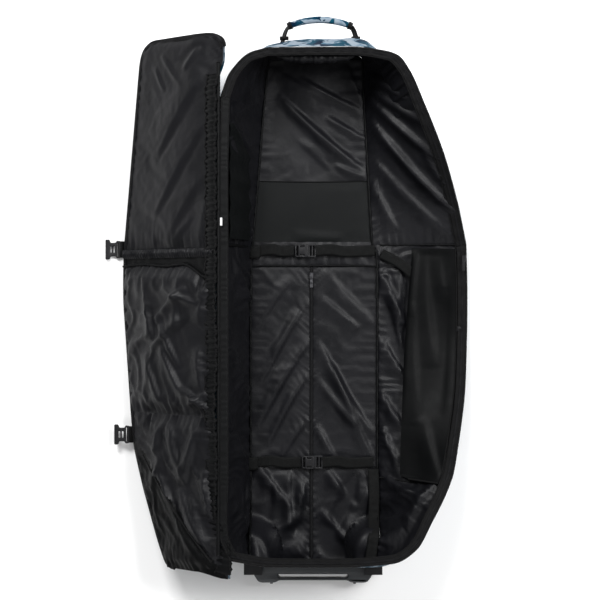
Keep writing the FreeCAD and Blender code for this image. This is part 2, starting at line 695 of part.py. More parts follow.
def carry_handle():
    """Webbing legs, bindings and a padded grip, which swing about the line where the legs are sewn on."""
    x, y, z = "Dim.carry_x", "Dim.carry_y", "Dim.carry_z"
    reach = f"{y} + Dim.carry_reach"
    legs = []
    for sign in (-1, 1):
        leg = doc.addObject("PartDesign::Body", "Leg")
        shape = [
            (f"{sign * 98}", "3"),
            (f"{sign * 104}", "12"),
            (f"{sign * 102}", "25"),
            (f"{sign * 89}", "Dim.carry_reach + 3"),
            (f"{sign * 89}", "Dim.carry_reach - 3"),
            (f"{sign * 99}", "21"),
            (f"{sign * 101}", "12"),
            (f"{sign * 95}", "3"),
        ]
        pad = leg.newObject("PartDesign::Pad", "Width")
        pad.Profile = outline_sketch(leg, "Outline", "XY_Plane", shape)
        pad.setExpression("Length", "Dim.leg_width")
        leg.Tip = pad
        place(leg, x, y, f"{z} - Dim.leg_width / 2")
        rolled_end = round_bar("4.5", "7", f"{x} + ({sign * 97}) - 3.5", y, z, ALONG, 90)
        legs.append(fuse([leg, rolled_end]))
    group("carry_handle_legs", legs)
    grip = round_bar("Dim.grip_radius", "2 * Dim.grip_half", f"{x} - Dim.grip_half", reach, z, ALONG, 90)
    keep(grip, "carry_handle_grip")
    bindings = [
        round_bar("Dim.grip_radius + 1.5", "8.5", f"{x} + Dim.grip_half", reach, z, ALONG, 90),
        round_bar("Dim.grip_radius + 1.5", "8.5", f"{x} - Dim.grip_half - 8.5", reach, z, ALONG, 90),
    ]
    group("carry_handle_bindings", bindings)
    anchors = [block("24", "5.3", "34", f"{x} + ({side}) - 12", "732.2", f"{z} - 17") for side in (-97, 97)]
    group("carry_handle_anchors", anchors)


back_panel()
skid_rails()
floor_linings()
end_panels()
corner_gussets()
left_wall()
lid()
lid_binding()
compression_straps()
right_wall()
cinch_straps()
pocket_zip()
wheels()
grab_handle()
carry_handle()
doc.recompute()

failed = [o.Label for o in doc.Objects if {"Invalid", "Error"} & set(o.State)]
if failed:
    raise RuntimeError(f"these objects failed: {failed}")
for part in subparts:
    if part.Shape.isNull() or not part.Shape.isValid() or not part.Shape.Solids:
        raise RuntimeError(f"{part.Label} has no valid solid")
os.makedirs("parts", exist_ok=True)
for part in subparts:
    part.Shape.exportStep(f"parts/{part.Label}.step")
print(len(subparts), "sub-parts written")
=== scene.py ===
import json
import math

import bpy
import numpy as np
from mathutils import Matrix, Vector


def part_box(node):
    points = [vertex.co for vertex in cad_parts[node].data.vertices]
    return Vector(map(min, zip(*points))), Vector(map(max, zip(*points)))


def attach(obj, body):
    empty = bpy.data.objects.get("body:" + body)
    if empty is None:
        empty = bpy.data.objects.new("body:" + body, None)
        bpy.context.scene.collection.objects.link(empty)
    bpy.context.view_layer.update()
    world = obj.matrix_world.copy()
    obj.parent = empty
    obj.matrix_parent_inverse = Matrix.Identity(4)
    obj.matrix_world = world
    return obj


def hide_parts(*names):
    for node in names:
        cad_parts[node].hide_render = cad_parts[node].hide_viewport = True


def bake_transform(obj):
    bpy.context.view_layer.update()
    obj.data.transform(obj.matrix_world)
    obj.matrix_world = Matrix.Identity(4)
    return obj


# An open wheeled snowboard bag: it lies on its back panel, its lid is swung out and its right wall has fallen
# flat. Lengths here are millimetres in the frame's axes, and become metres where a mesh is made.

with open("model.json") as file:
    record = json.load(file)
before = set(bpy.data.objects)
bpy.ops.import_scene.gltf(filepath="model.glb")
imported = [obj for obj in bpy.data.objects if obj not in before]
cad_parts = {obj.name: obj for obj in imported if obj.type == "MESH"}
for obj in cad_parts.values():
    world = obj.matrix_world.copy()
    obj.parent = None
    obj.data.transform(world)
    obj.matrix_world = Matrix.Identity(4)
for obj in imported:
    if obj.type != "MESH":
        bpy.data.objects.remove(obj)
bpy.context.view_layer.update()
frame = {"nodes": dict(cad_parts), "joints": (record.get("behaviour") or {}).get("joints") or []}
MM = 0.001
TAU = 2 * math.pi


def low(node):
    """A CAD node's lowest corner, in millimetres."""
    return np.array(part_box(node)[0]) / MM


def high(node):
    return np.array(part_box(node)[1]) / MM


JOINTS = {joint["name"]: joint for joint in frame["joints"]}


def pivot(joint):
    """Where a joint's axis passes, in millimetres."""
    return np.array(JOINTS[joint]["pos_m"]) / MM


# ---------------------------------------------------------------- places worked out from the frame
LEFT_AXIS = pivot("left_wall_lean")
RIGHT_AXIS = pivot("right_wall_fold")
HINGE = pivot("lid_hinge")
SEAM_X = RIGHT_AXIS[0]
FLOOR = high("base_foam")[2] + 2
RIM = high("head_end_panel")[2]
CROSS_SEAM = high("right_lower_lining")[1] + 1
LID_TURN = math.radians(138.7)
LID_OUT = np.array([math.cos(LID_TURN), 0, -math.sin(LID_TURN)])
LID_UP = np.array([-math.sin(LID_TURN), 0, -math.cos(LID_TURN)])
LID_HEAD = high("lid_foam")[1]
LID_FOOT = low("lid_foam")[1]


# ---------------------------------------------------------------- numbers along curves and across sheets
def spline(points, count, smooth=True):
    """A curve through the points, as evenly spaced places along its length."""
    knots = np.array(points, float)
    if not smooth:
        fine = knots
    else:
        ends = np.vstack([2 * knots[0] - knots[1], knots, 2 * knots[-1] - knots[-2]])
        fine = [knots[0]]
        for a, b, c, d in zip(ends, ends[1:], ends[2:], ends[3:]):
            for t in np.linspace(0.05, 1, 20):
                square, cube = 2 * a - 5 * b + 4 * c - d, 3 * b - a - 3 * c + d
                fine.append(0.5 * (2 * b + (c - a) * t + square * t * t + cube * t**3))
        fine = np.array(fine)
    length = np.concatenate([[0], np.cumsum(np.linalg.norm(np.diff(fine, axis=0), axis=1))])
    at = np.linspace(0, length[-1], count)
    return np.stack([np.interp(at, length, fine[:, k]) for k in range(3)], axis=1)


def stations(pairs, count):
    """Two curves through matching places: the first of each pair, and the second."""
    lows = np.array([p[0] for p in pairs], float)
    highs = np.array([p[1] for p in pairs], float)
    middle = (lows + highs) / 2
    length = np.concatenate([[0], np.cumsum(np.linalg.norm(np.diff(middle, axis=0), axis=1))])
    at = np.linspace(0, length[-1], count)
    return [spline_at(knots, length, at) for knots in (lows, highs)]


def spline_at(knots, length, at):
    """A smooth curve through knots that sit at these lengths, read off at other lengths."""
    slopes = np.gradient(knots, length, axis=0)
    cell = np.clip(np.searchsorted(length, at, side="right") - 1, 0, len(length) - 2)
    width = (length[cell + 1] - length[cell])[:, None]
    t = ((at - length[cell]) / (length[cell + 1] - length[cell]))[:, None]
    a, b = knots[cell], knots[cell + 1]
    ma, mb = slopes[cell] * width * 0.8, slopes[cell + 1] * width * 0.8
    return (
        (2 * t**3 - 3 * t**2 + 1) * a
        + (t**3 - 2 * t**2 + t) * ma
        + (-2 * t**3 + 3 * t**2) * b
        + (t**3 - t**2) * mb
    )


def smooth_step(value, start, end):
    """0 before the start, 1 after the end, and an even S-curve between."""
    t = np.clip((value - start) / (end - start), 0, 1)
    return t * t * (3 - 2 * t)


def waves(x, y, size, seed):
    """Gentle uneven swell, about -1 to 1, with features of this size."""
    rng = np.random.default_rng(seed)
    count = 7
    total = 0
    for _ in range(count):
        turn = rng.uniform(0, TAU)
        step = size * rng.uniform(0.7, 1.6)
        total = total + np.sin((x * math.cos(turn) + y * math.sin(turn)) * TAU / step + rng.uniform(0, TAU))
    return total / math.sqrt(count)


class Sheet:
    """A grid of places, rows along the cloth and columns across it, that folds are pressed into."""

    def __init__(self, rows):
        self.rows = np.array(rows, float)
        self.home = self.rows.copy()
        self.across = self._lengths(1)
        self.along = self._lengths(0)
        self.width = self.across[:, -1:]
        self.length = self.along[-1:, :]
        self.normal = self._normals()

    def _lengths(self, axis):
        steps = np.linalg.norm(np.diff(self.rows, axis=axis), axis=2)
        lead = np.zeros_like(np.take(steps, [0], axis=axis))
        return np.cumsum(np.concatenate([lead, steps], axis=axis), axis=axis)

    def _normals(self):
        down = np.gradient(self.rows, axis=0)
        right = np.gradient(self.rows, axis=1)
        normal = np.cross(right, down)
        if normal[..., 2].mean() < 0:
            normal = -normal
        return normal / np.maximum(np.linalg.norm(normal, axis=2, keepdims=True), 1e-9)

    def seam_fade(self, reach=14, sides="lrtb"):
        """0 at the sewn edges, 1 away from them."""
        fade = np.ones(self.rows.shape[:2])
        gaps = {
            "l": self.across,
            "r": self.width - self.across,
            "t": self.along,
            "b": self.length - self.along,
        }
        for side in sides:
            fade = fade * smooth_step(gaps[side], 0, reach)
        return fade

    def lift(self, height):
        """Moves the cloth along its own normal."""
        self.rows = self.rows + self.normal * np.asarray(height)[..., None]
        return self

    def fold(self, start, end, width, height):
        """A ridge between two places seen from above, steep on one side, that dies away at both ends."""
        start, end = np.array(start, float), np.array(end, float)
        run = end - start
        size = np.linalg.norm(run)
        flat = self.home[:, :, :2] - start
        t = flat @ run / size**2
        offset = (flat[..., 0] * run[1] - flat[..., 1] * run[0]) / size
        offset = offset + 0.08 * size * (t - 0.5) ** 2 * np.sign(height)
        broad = np.where(offset > 0, width * 1.6, width * 0.4 + 2)
        taper = np.clip(np.sin(np.clip(t, 0, 1) * math.pi), 0, 1) ** 0.6
        return self.lift(height * np.exp(-((offset / broad) ** 2)) * taper * self.seam_fade(8))

    def folds(self, table):
        """Presses in every fold of a table: its two ends, its width and its height."""
        for start, end, width, height in table:
            self.fold(start, end, width, height)

    def pucker(self, side, step, depth, reach, seed=1, slant=0.0):
        """Gathers along one sewn edge, uneven in step and dying away from the seam."""
        gaps = {
            "l": (self.across, self.along),
            "r": (self.width - self.across, self.along),
            "t": (self.along, self.across),
            "b": (self.length - self.along, self.across),
        }
        away, run = gaps[side]
        rng = np.random.default_rng(seed)
        shift = 0
        for pace in (3.3, 5.1, 8.7):
            shift = shift + rng.uniform(0.5, 1) * np.sin(run * TAU / (step * pace) + rng.uniform(0, TAU))
        phase = (run + slant * away) * TAU / step + 1.5 * shift
        strength = 0.65 + 0.35 * np.sin(run * TAU / (step * 6.3) + rng.uniform(0, TAU))
        shape = away / reach * np.exp(1 - away / reach)
        return self.lift(depth * strength * np.sin(phase) * shape)

    def crumple(self, size, depth, seed):
        """Uneven creases over the whole cloth, longer than they are wide, running at one angle or near it."""
        turn = 0.6 + 0.35 * waves(self.across, self.along, 6 * size, seed + 9)
        x = self.across * np.cos(turn) + self.along * np.sin(turn)
        y = (self.along * np.cos(turn) - self.across * np.sin(turn)) / 3
        x = x + 0.35 * size * waves(self.across, self.along, 3 * size, seed + 20)
        ridges = (1 - np.abs(waves(x, y, size, seed))) ** 2
        fine = (1 - np.abs(waves(x, y, size * 0.5, seed + 50))) ** 3
        where = 0.55 + 0.45 * waves(self.across, self.along, 4 * size, seed + 70)
        return self.lift(depth * where * (0.8 * ridges + 0.25 * fine) * self.seam_fade(12))


# ---------------------------------------------------------------- meshes
def mesh_object(name, points, faces, uvs=None):
    """A mesh from places in millimetres, linked to the scene."""
    mesh = bpy.data.meshes.new(name)
    mesh.from_pydata((np.asarray(points, float) * MM).tolist(), [], faces)
    if uvs is not None:
        layer = mesh.uv_layers.new(name="Cloth")
        loops = np.zeros(len(mesh.loops), int)
        mesh.loops.foreach_get("vertex_index", loops)
        layer.data.foreach_set("uv", (np.asarray(uvs, float) * MM)[loops].ravel())
    mesh.update()
    piece = bpy.data.objects.new(name, mesh)
    bpy.context.scene.collection.objects.link(piece)
    return piece


def grid_faces(count_rows, count_columns, closed=False):
    """The faces of a grid of places. A closed one joins its last column to its first."""
    faces = []
    last = count_columns if closed else count_columns - 1
    for i in range(count_rows - 1):
        for j in range(last):
            k = (j + 1) % count_columns
            a, b = i * count_columns + j, i * count_columns + k
            faces.append((a, b, b + count_columns, a + count_columns))
    return faces


def cloth_object(name, sheet):
    """A sheet's grid as a mesh. Its UVs are its own lengths, so a pattern keeps its size."""
    m, n = sheet.rows.shape[:2]
    uvs = np.stack([sheet.across, sheet.along], axis=2).reshape(-1, 2)
    piece = mesh_object(name, sheet.rows.reshape(-1, 3), grid_faces(m, n), uvs)
    shade_smooth(piece)
    return piece


def shade_smooth(piece):
    piece.data.polygons.foreach_set("use_smooth", [True] * len(piece.data.polygons))
    return piece


def finish_piece(piece, material, slot, body=None, blend=None):
    """Gives a piece its material and parents it to its body; one with a blend only has its transform baked in.
    slot is not used.
    """
    piece.data.materials.clear()
    piece.data.materials.append(material)
    if blend:
        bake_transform(piece)
    else:
        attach(piece, body)
    return piece


def modify(piece, kind, **settings):
    """Adds one modifier and applies it."""
    modifier = piece.modifiers.new(kind.title(), kind)
    for key, setting in settings.items():
        setattr(modifier, key, setting)
    bpy.context.view_layer.objects.active = piece
    with bpy.context.temp_override(object=piece, active_object=piece, selected_objects=[piece]):
        bpy.ops.object.modifier_apply(modifier=modifier.name)
    return piece


def thicken(piece, thickness):
    """Gives a thin piece a thickness, half to each side."""
    return modify(piece, "SOLIDIFY", thickness=thickness * MM, offset=0.0)


def ribbon(name, centre, width, thickness, side):
    """A flat strap along a curve. side says which way its width lies, one direction or one for each place."""
    centre = np.asarray(centre, float)
    side = np.broadcast_to(np.asarray(side, float), centre.shape)
    side = side / np.linalg.norm(side, axis=1, keepdims=True)
    columns = np.linspace(-0.5, 0.5, 7)
    rows = centre[:, None, :] + side[:, None, :] * columns[None, :, None] * width
    piece = cloth_object(name, Sheet(rows))
    return thicken(piece, thickness)


def tube(name, centre, radius, sides=10):
    """A round bead or bar along a curve. radius may change from place to place."""
    centre = np.asarray(centre, float)
    run = np.gradient(centre, axis=0)
    run = run / np.linalg.norm(run, axis=1, keepdims=True)
    up = np.array([0.0, 0.0, 1.0]) if abs(run[:, 2]).mean() < 0.8 else np.array([1.0, 0, 0])
    right = np.cross(run, up)
    right = right / np.linalg.norm(right, axis=1, keepdims=True)
    over = np.cross(right, run)
    turn = np.linspace(0, TAU, sides, endpoint=False)
    radius = np.broadcast_to(np.asarray(radius, float), (len(centre),))
    ring = right[:, None, :] * np.cos(turn)[:, None] + over[:, None, :] * np.sin(turn)[:, None]
    points = (centre[:, None, :] + ring * radius[:, None, None]).reshape(-1, 3)
    faces = grid_faces(len(centre), sides, closed=True)
    faces.append(tuple(range(sides)))
    faces.append(tuple(reversed(range((len(centre) - 1) * sides, len(centre) * sides))))
    length = np.concatenate([[0], np.cumsum(np.linalg.norm(np.diff(centre, axis=0), axis=1))])
    around = np.broadcast_to(turn[None, :] * radius[:, None], (len(centre), sides))
    uvs = np.stack([around, np.broadcast_to(length[:, None], around.shape)], axis=2).reshape(-1, 2)
    return shade_smooth(mesh_object(name, points, faces, uvs))


def join(name, pieces):
    """Several meshes as one piece."""
    whole = pieces[0]
    with bpy.context.temp_override(active_object=whole, object=whole, selected_editable_objects=pieces):
        bpy.ops.object.join()
    whole.name = name
    whole.data.name = name
    return whole


def moulding(name, outline, holes, thickness, bevel, origin, crown=0.0):
    """A moulded plate lying flat: an outline with holes, rounded at its edges and a little crowned."""
    curve = bpy.data.curves.new(name, "CURVE")
    curve.dimensions = "2D"
    curve.fill_mode = "BOTH"
    curve.extrude = (thickness / 2 - bevel) * MM
    curve.bevel_depth = bevel * MM
    curve.bevel_resolution = 3
    curve.offset = -bevel * MM
    for loop in [outline, *holes]:
        line = curve.splines.new("POLY")
        line.points.add(len(loop) - 1)
        line.use_cyclic_u = True
        for point, (x, y) in zip(line.points, loop):
            point.co = (x * MM, y * MM, 0, 1)
    thing = bpy.data.objects.new(name, curve)
    bpy.context.scene.collection.objects.link(thing)
    bpy.context.view_layer.update()
    mesh = bpy.data.meshes.new_from_object(thing.evaluated_get(bpy.context.evaluated_depsgraph_get()))
    bpy.data.objects.remove(thing)
    bpy.data.curves.remove(curve)
    flat = np.array([v.co for v in mesh.vertices]).reshape(-1, 3)
    reach = np.abs(flat[:, 1]).max()
    flat[:, 2] += crown * MM * (1 - (flat[:, 1] / reach) ** 2)
    mesh.vertices.foreach_set("co", (flat + np.array(origin) * MM).ravel())
    piece = bpy.data.objects.new(name, mesh)
    mesh.name = name
    bpy.context.scene.collection.objects.link(piece)
    mesh.update()
    modify(piece, "WELD", merge_threshold=0.00002)
    shade_smooth(piece)
    piece.data.set_sharp_from_angle(angle=math.radians(40))
    return piece


def rounded(corners, radius):
    """An outline with each corner rounded off by an arc-like bend."""
    points = []
    corners = [np.array(c, float) for c in corners]
    for before, corner, after in zip(corners[-1:] + corners[:-1], corners, corners[1:] + corners[:1]):
        into, away = before - corner, after - corner
        cut = min(radius, 0.48 * np.linalg.norm(into), 0.48 * np.linalg.norm(away))
        start = corner + into / np.linalg.norm(into) * cut
        end = corner + away / np.linalg.norm(away) * cut
        for t in np.linspace(0, 1, 5):
            points.append(tuple((1 - t) ** 2 * start + 2 * t * (1 - t) * corner + t**2 * end))
    return points


# ---------------------------------------------------------------- cloth simulation
# How many frames the cloths settle for, and in millimetres how far they may move and sink.
SETTLE_FRAMES = 22
MOST_MOVE = 14
PADDING_GIVE = 2
waiting = []


def to_simulate(piece, slack, sheet):
    """Marks a cloth for simulation: sewn down all round, with this share of spare cloth."""
    held = sheet.seam_fade(5).ravel() < 0.5
    group = piece.vertex_groups.new(name="Sewn")
    group.add([int(i) for i in np.flatnonzero(held)], 1.0, "REPLACE")
    waiting.append((piece, slack, sheet))


def cloth_settings(piece, slack):
    """Thin stiff nylon with a little spare length, which buckles out of its flat shape."""
    cloth = piece.modifiers.new("Cloth", "CLOTH")
    settings = cloth.settings
    settings.quality = 5
    settings.mass = 0.15
    settings.tension_stiffness = settings.compression_stiffness = 12
    settings.shear_stiffness = 6
    settings.bending_stiffness = 0.25
    settings.tension_damping = settings.compression_damping = settings.shear_damping = 12
    settings.bending_damping = 1.0
    settings.air_damping = 4
    settings.shrink_min = -slack
    settings.vertex_group_mass = "Sewn"
    settings.effector_weights.gravity = 0.0
    cloth.collision_settings.use_collision = False
    cloth.point_cache.frame_start, cloth.point_cache.frame_end = 1, SETTLE_FRAMES


def simulate():
    """Lets the marked cloths buckle with their spare length, then keeps the settled shape.

    A cloth moves at most MOST_MOVE, and sinks little further than PADDING_GIVE into the padding behind it.
    """
    scene = bpy.context.scene
    if not waiting:
        return
    scene.frame_start, scene.frame_end = 1, SETTLE_FRAMES
    for piece, slack, _ in waiting:
        cloth_settings(piece, slack)
    for step in range(1, SETTLE_FRAMES + 1):
        scene.frame_set(step)
    graph = bpy.context.evaluated_depsgraph_get()
    for piece, _, sheet in waiting:
        before = vertex_array(piece.data) / MM
        moved = vertex_array(piece.evaluated_get(graph).data) / MM - before
        far = np.linalg.norm(moved, axis=1, keepdims=True)
        settled = before + moved * np.minimum(1, MOST_MOVE / np.maximum(far, 1e-6))
        normal = sheet.normal.reshape(-1, 3)
        height = np.sum((settled - sheet.home.reshape(-1, 3)) * normal, axis=1)
        sunk = np.minimum(height + PADDING_GIVE, 0)
        settled = settled - normal * (0.9 * sunk)[:, None]
        piece.modifiers.clear()
        piece.data.vertices.foreach_set("co", (settled * MM).ravel())
        piece.data.update()
    scene.frame_set(1)
    waiting.clear()


def vertex_array(mesh):
    """A mesh's places, one row each, in metres."""
    co = np.zeros(len(mesh.vertices) * 3)
    mesh.vertices.foreach_get("co", co)
    return co.reshape(-1, 3)


# ---------------------------------------------------------------- materials
class Look:
    """A material with a Principled shader, and short ways to add nodes to it."""

    def __init__(self, name, **sockets):
        self.material = bpy.data.materials.new(name)
        self.material.use_nodes = True
        self.tree = self.material.node_tree
        self.shader = self.tree.nodes["Principled BSDF"]
        for key, setting in sockets.items():
            self.shader.inputs[key.replace("_", " ").title().replace("Ior", "IOR")].default_value = setting
        self.bump_before = None

    def node(self, kind, **settings):
        """Adds a node. A setting is one of the node's attributes or one of its inputs."""
        made = self.tree.nodes.new(kind)
        for key, setting in settings.items():
            if hasattr(made, key) and key not in made.inputs:
                setattr(made, key, setting)
            else:
                made.inputs[key].default_value = setting
        return made

    def link(self, output, target):
        self.tree.links.new(output, target)
        return self

    def coordinates(self, uv=True):
        place = self.node("ShaderNodeTexCoord")
        return place.outputs["UV" if uv else "Object"]

    def noise(self, where, scale, detail=2.0, rough=0.5, distortion=0.0):
        settings = {"Scale": scale, "Detail": detail, "Roughness": rough, "Distortion": distortion}
        made = self.node("ShaderNodeTexNoise", **settings)
        self.link(where, made.inputs["Vector"])
        return made.outputs["Fac"]

    def wave(self, where, scale, direction="X", distortion=0.0):
        made = self.node("ShaderNodeTexWave", bands_direction=direction, Scale=scale, Distortion=distortion)
        self.link(where, made.inputs["Vector"])
        return made.outputs["Fac"]

    def ramp(self, value, stops):
        made = self.node("ShaderNodeValToRGB")
        elements = made.color_ramp.elements
        while len(elements) < len(stops):
            elements.new(0.5)
        for element, (position, colour) in zip(elements, stops):
            element.position = position
            element.color = (*colour, 1)
        self.link(value, made.inputs["Fac"])
        return made.outputs["Color"]

    def grey(self, value, start, end, first, last):
        """Spreads values from one range over another."""
        limits = {"From Min": start, "From Max": end, "To Min": first, "To Max": last}
        made = self.node("ShaderNodeMapRange", **limits)
        self.link(value, made.inputs["Value"])
        return made.outputs["Result"]

    def math(self, operation, first, second):
        made = self.node("ShaderNodeMath", operation=operation)
        for socket, source in zip(made.inputs, (first, second)):
            if isinstance(source, (int, float)):
                socket.default_value = source
            else:
                self.link(source, socket)
        return made.outputs["Value"]

    def mix(self, factor, first, second):
        made = self.node("ShaderNodeMix", data_type="RGBA")
        for socket, source in (("Factor", factor), (6, first), (7, second)):
            self.link(source, made.inputs[socket])
        return made.outputs[2]

    def bump(self, height, strength, distance):
        """Adds one more layer of relief on top of those before it."""
        made = self.node("ShaderNodeBump", Strength=strength, Distance=distance)
        self.link(height, made.inputs["Height"])
        if self.bump_before:
            self.link(self.bump_before, made.inputs["Normal"])
        self.bump_before = made.outputs["Normal"]
        self.link(self.bump_before, self.shader.inputs["Normal"])
        return self

    def colour(self, output):
        return self.link(output, self.shader.inputs["Base Color"])

    def roughness(self, output):
        return self.link(output, self.shader.inputs["Roughness"])

    def done(self):
        return self.material


def satin(name, dark, light, rough_low, rough_high, weave, crush, gloss):
    """Thin nylon lining: a fine plain weave, uneven sheen and fine crush marks."""
    look = Look(name, sheen_weight=0.008, sheen_roughness=0.3, specular_ior_level=gloss)
    where = look.coordinates()
    cloud = look.noise(where, 11, 3, 0.55)
    look.colour(look.ramp(cloud, [(0.3, dark), (0.72, light)]))
    look.roughness(look.grey(look.noise(where, 23, 3, 0.6), 0.3, 0.7, rough_low, rough_high))
    crushed = look.noise(where, 34, 5, 0.55, 0.9)
    look.bump(crushed, 0.35 * crush, 0.006)
    threads = look.math("ADD", look.wave(where, 330, "X"), look.wave(where, 330, "Y"))
    look.bump(threads, 0.10 * weave, 0.0006)
    return look.done()


def printed(name):
    """Canvas printed with loose brush strokes like leaves: pale grey-blue, teal and deep blue."""
    look = Look(name, specular_ior_level=0.04)
    where = look.coordinates()
    warp = look.node("ShaderNodeTexNoise", Scale=16, Detail=1.5)
    look.link(where, warp.inputs["Vector"])
    shifted = look.node("ShaderNodeVectorMath", operation="MULTIPLY_ADD")
    shifted.inputs[1].default_value = (0.075, 0.075, 0.0)
    look.link(warp.outputs["Color"], shifted.inputs[0])
    look.link(where, shifted.inputs[2])
    turned = look.node("ShaderNodeMapping", Rotation=(0, 0, 0.7), Scale=(1.0, 0.5, 1.0))
    look.link(shifted.outputs["Vector"], turned.inputs["Vector"])
    strokes = look.noise(turned.outputs["Vector"], 42, 2.5, 0.55, 0.8)
    leaf = look.ramp(strokes, [(0.475, (1, 1, 1)), (0.485, (0, 0, 0))])
    hue = look.noise(where, 25, 3, 0.6, 0.4)
    deep, blue, teal = (0.001, 0.008, 0.024), (0.002, 0.026, 0.050), (0.003, 0.056, 0.090)
    ink = look.ramp(hue, [(0.36, deep), (0.46, blue), (0.62, teal)])
    ground = look.ramp(
        look.noise(turned.outputs["Vector"], 44, 3, 0.6, 0.5),
        [(0.38, (0.06, 0.12, 0.17)), (0.44, (0.17, 0.22, 0.27)), (0.60, (0.22, 0.26, 0.30))],
    )
    look.colour(look.mix(leaf, ground, ink))
    look.roughness(look.grey(strokes, 0.3, 0.7, 0.62, 0.78))
    threads = look.math("ADD", look.wave(where, 220, "X"), look.wave(where, 220, "Y"))
    look.bump(threads, 0.25, 0.0008)
    look.bump(look.noise(where, 26, 3, 0.5), 0.2, 0.004)
    return look.done()


def webbing_look(name, tone):
    """Woven strap: ribs across it, darkened as painted shade where the ribs and threads run low."""
    look = Look(name, sheen_weight=0.01, sheen_roughness=0.5, specular_ior_level=0.12)
    where = look.coordinates()
    ribs = look.wave(where, 95, "Y", 0.4)
    threads = look.wave(where, 190, "X", 0.6)
    # dark is painted shade in the grooves: the colour darkens where the ribs and threads of the bump are low.
    dark = tuple(0.62 * t for t in tone)
    look.colour(look.ramp(look.math("MULTIPLY", ribs, threads), [(0.1, dark), (0.8, tone)]))
    look.roughness(look.grey(look.noise(where, 60, 3), 0.3, 0.7, 0.55, 0.75))
    look.bump(ribs, 0.5, 0.0012)
    look.bump(threads, 0.25, 0.0008)
    return look.done()


def plastic(name, tone, rough, gloss=0.4):
    """Moulded nylon: fine grain, slightly uneven gloss and rubbed patches."""
    look = Look(name, specular_ior_level=gloss)
    where = look.coordinates(False)
    worn = look.noise(where, 28, 4, 0.6)
    pale = tuple(min(1, 1.5 * t) for t in tone)
    look.colour(look.ramp(worn, [(0.35, tone), (0.8, pale)]))
    look.roughness(look.grey(look.noise(where, 45, 3), 0.3, 0.7, rough, rough + 0.14))
    look.bump(look.noise(where, 320, 2), 0.12, 0.0006)
    return look.done()


def rubber_look():
    """Tyre rubber: matt, with dust in its grain."""
    look = Look("wheel_rubber")
    where = look.coordinates(False)
    dust = look.noise(where, 40, 4, 0.65)
    look.colour(look.ramp(dust, [(0.35, (0.014, 0.014, 0.015)), (0.75, (0.045, 0.044, 0.042))]))
    look.roughness(look.grey(dust, 0.3, 0.7, 0.6, 0.85))
    look.bump(look.noise(where, 420, 2), 0.3, 0.0008)
    return look.done()


def metal_look():
    """Dull brushed metal, for axles, rivets, screws and the pocket's slider."""
    look = Look("metal", metallic=1.0)
    where = look.coordinates(False)
    brushed = look.noise(where, 160, 3, 0.6)
    look.colour(look.ramp(brushed, [(0.35, (0.06, 0.06, 0.065)), (0.7, (0.14, 0.14, 0.15))]))
    look.roughness(look.grey(brushed, 0.3, 0.7, 0.28, 0.45))
    look.bump(brushed, 0.08, 0.0005)
    return look.done()


# A lining's darkest and lightest tone, the range of its roughness, its weave, its crush marks and its gloss.
TONE = 0.0001 * np.array([[30, 32, 42], [58, 58, 74]])
# The next tone is the lining darkened as painted shade, for the fallen wall's pocket and the lid's strip past
# its hem.
PAINTED_SHADE_TONE = 0.0001 * np.array([[12, 14, 16], [26, 28, 30]])
DULL_TONE = 0.0001 * np.array([[16, 18, 20], [30, 32, 36]])
COATED_TONE = 0.0001 * np.array([[22, 28, 30], [34, 40, 42]])
LINING = satin("lining", *TONE, 0.40, 0.50, 1.0, 0.18, 0.19)
# A satin in the painted shade tone: the lining darkened as painted shade, with less gloss.
PAINTED_SHADE_LINING = satin("wall_pocket", *PAINTED_SHADE_TONE, 0.42, 0.52, 1.0, 0.15, 0.075)
DULL_LINING = satin("lining_dull", *DULL_TONE, 0.48, 0.60, 1.5, 0.25, 0.10)
SMOOTH = satin("smooth_panel", *COATED_TONE, 0.44, 0.54, 2.0, 0.08, 0.10)
PRINT = printed("printed_fabric")
WEBBING = webbing_look("webbing", (0.0031, 0.0034, 0.0034))
BINDING = webbing_look("binding", (0.0038, 0.0038, 0.0042))
BLACK_PLASTIC = plastic("black_plastic", (0.0075, 0.0075, 0.0085), 0.32, gloss=0.24)
TEETH = plastic("zip_teeth", (0.006, 0.006, 0.007), 0.5, gloss=0.12)
GREY_PLASTIC = plastic("grey_plastic", (0.030, 0.033, 0.036), 0.34)
RUBBER = rubber_look()
METAL = metal_look()


# ---------------------------------------------------------------- the floor of the bag
def over_wheels(x, y):
    """How far the wheel housings push the lining up."""
    middle = abs(pivot("left_wheel_spin")[0])
    gap = np.hypot((np.abs(x) - middle) / 58, (y - pivot("left_wheel_spin")[1]) / 92)
    return 77 * (1 - smooth_step(gap, 0.72, 1.3))


def floor_at(x, y):
    """A place on the floor, lifted where it is over a wheel housing."""
    return (x, y, FLOOR + float(over_wheels(x, y)))


def floor_line(points):
    """Places on the floor, lifted where the wheel housings are."""
    flat = np.array(points, float)
    return np.column_stack([flat, FLOOR + over_wheels(flat[:, 0], flat[:, 1])])


LEFT_PIPING = [(-124, 690), (-132, 610), (-142, 500), (-151, 380), (-160, 270), (-168, 177)]
RIGHT_PIPING = [(137, 697), (141, 600), (147, 490), (153, 380), (159, 270), (166, 177)]
POCKET_TOP = 119
POCKET_SIDE = (-173, 179)
ZIP_X = -4.0
FLOOR_FOOT = -700


def floor_rows(left, right, head, foot, step=6.5):
    """A flat grid on the floor. left and right give the sides' x at a height up the bag."""
    m = int((head - foot) / step) + 1
    y = np.linspace(head, foot, m)
    x0 = np.array([left(v) for v in y])
    x1 = np.array([right(v) for v in y])
    n = int((x1 - x0).max() / step) + 1
    t = np.linspace(0, 1, n)[None, :]
    x = x0[:, None] * (1 - t) + x1[:, None] * t
    yy = np.broadcast_to(y[:, None], x.shape)
    z = FLOOR + over_wheels(x, yy)
    return np.stack([x, yy, z], axis=2)


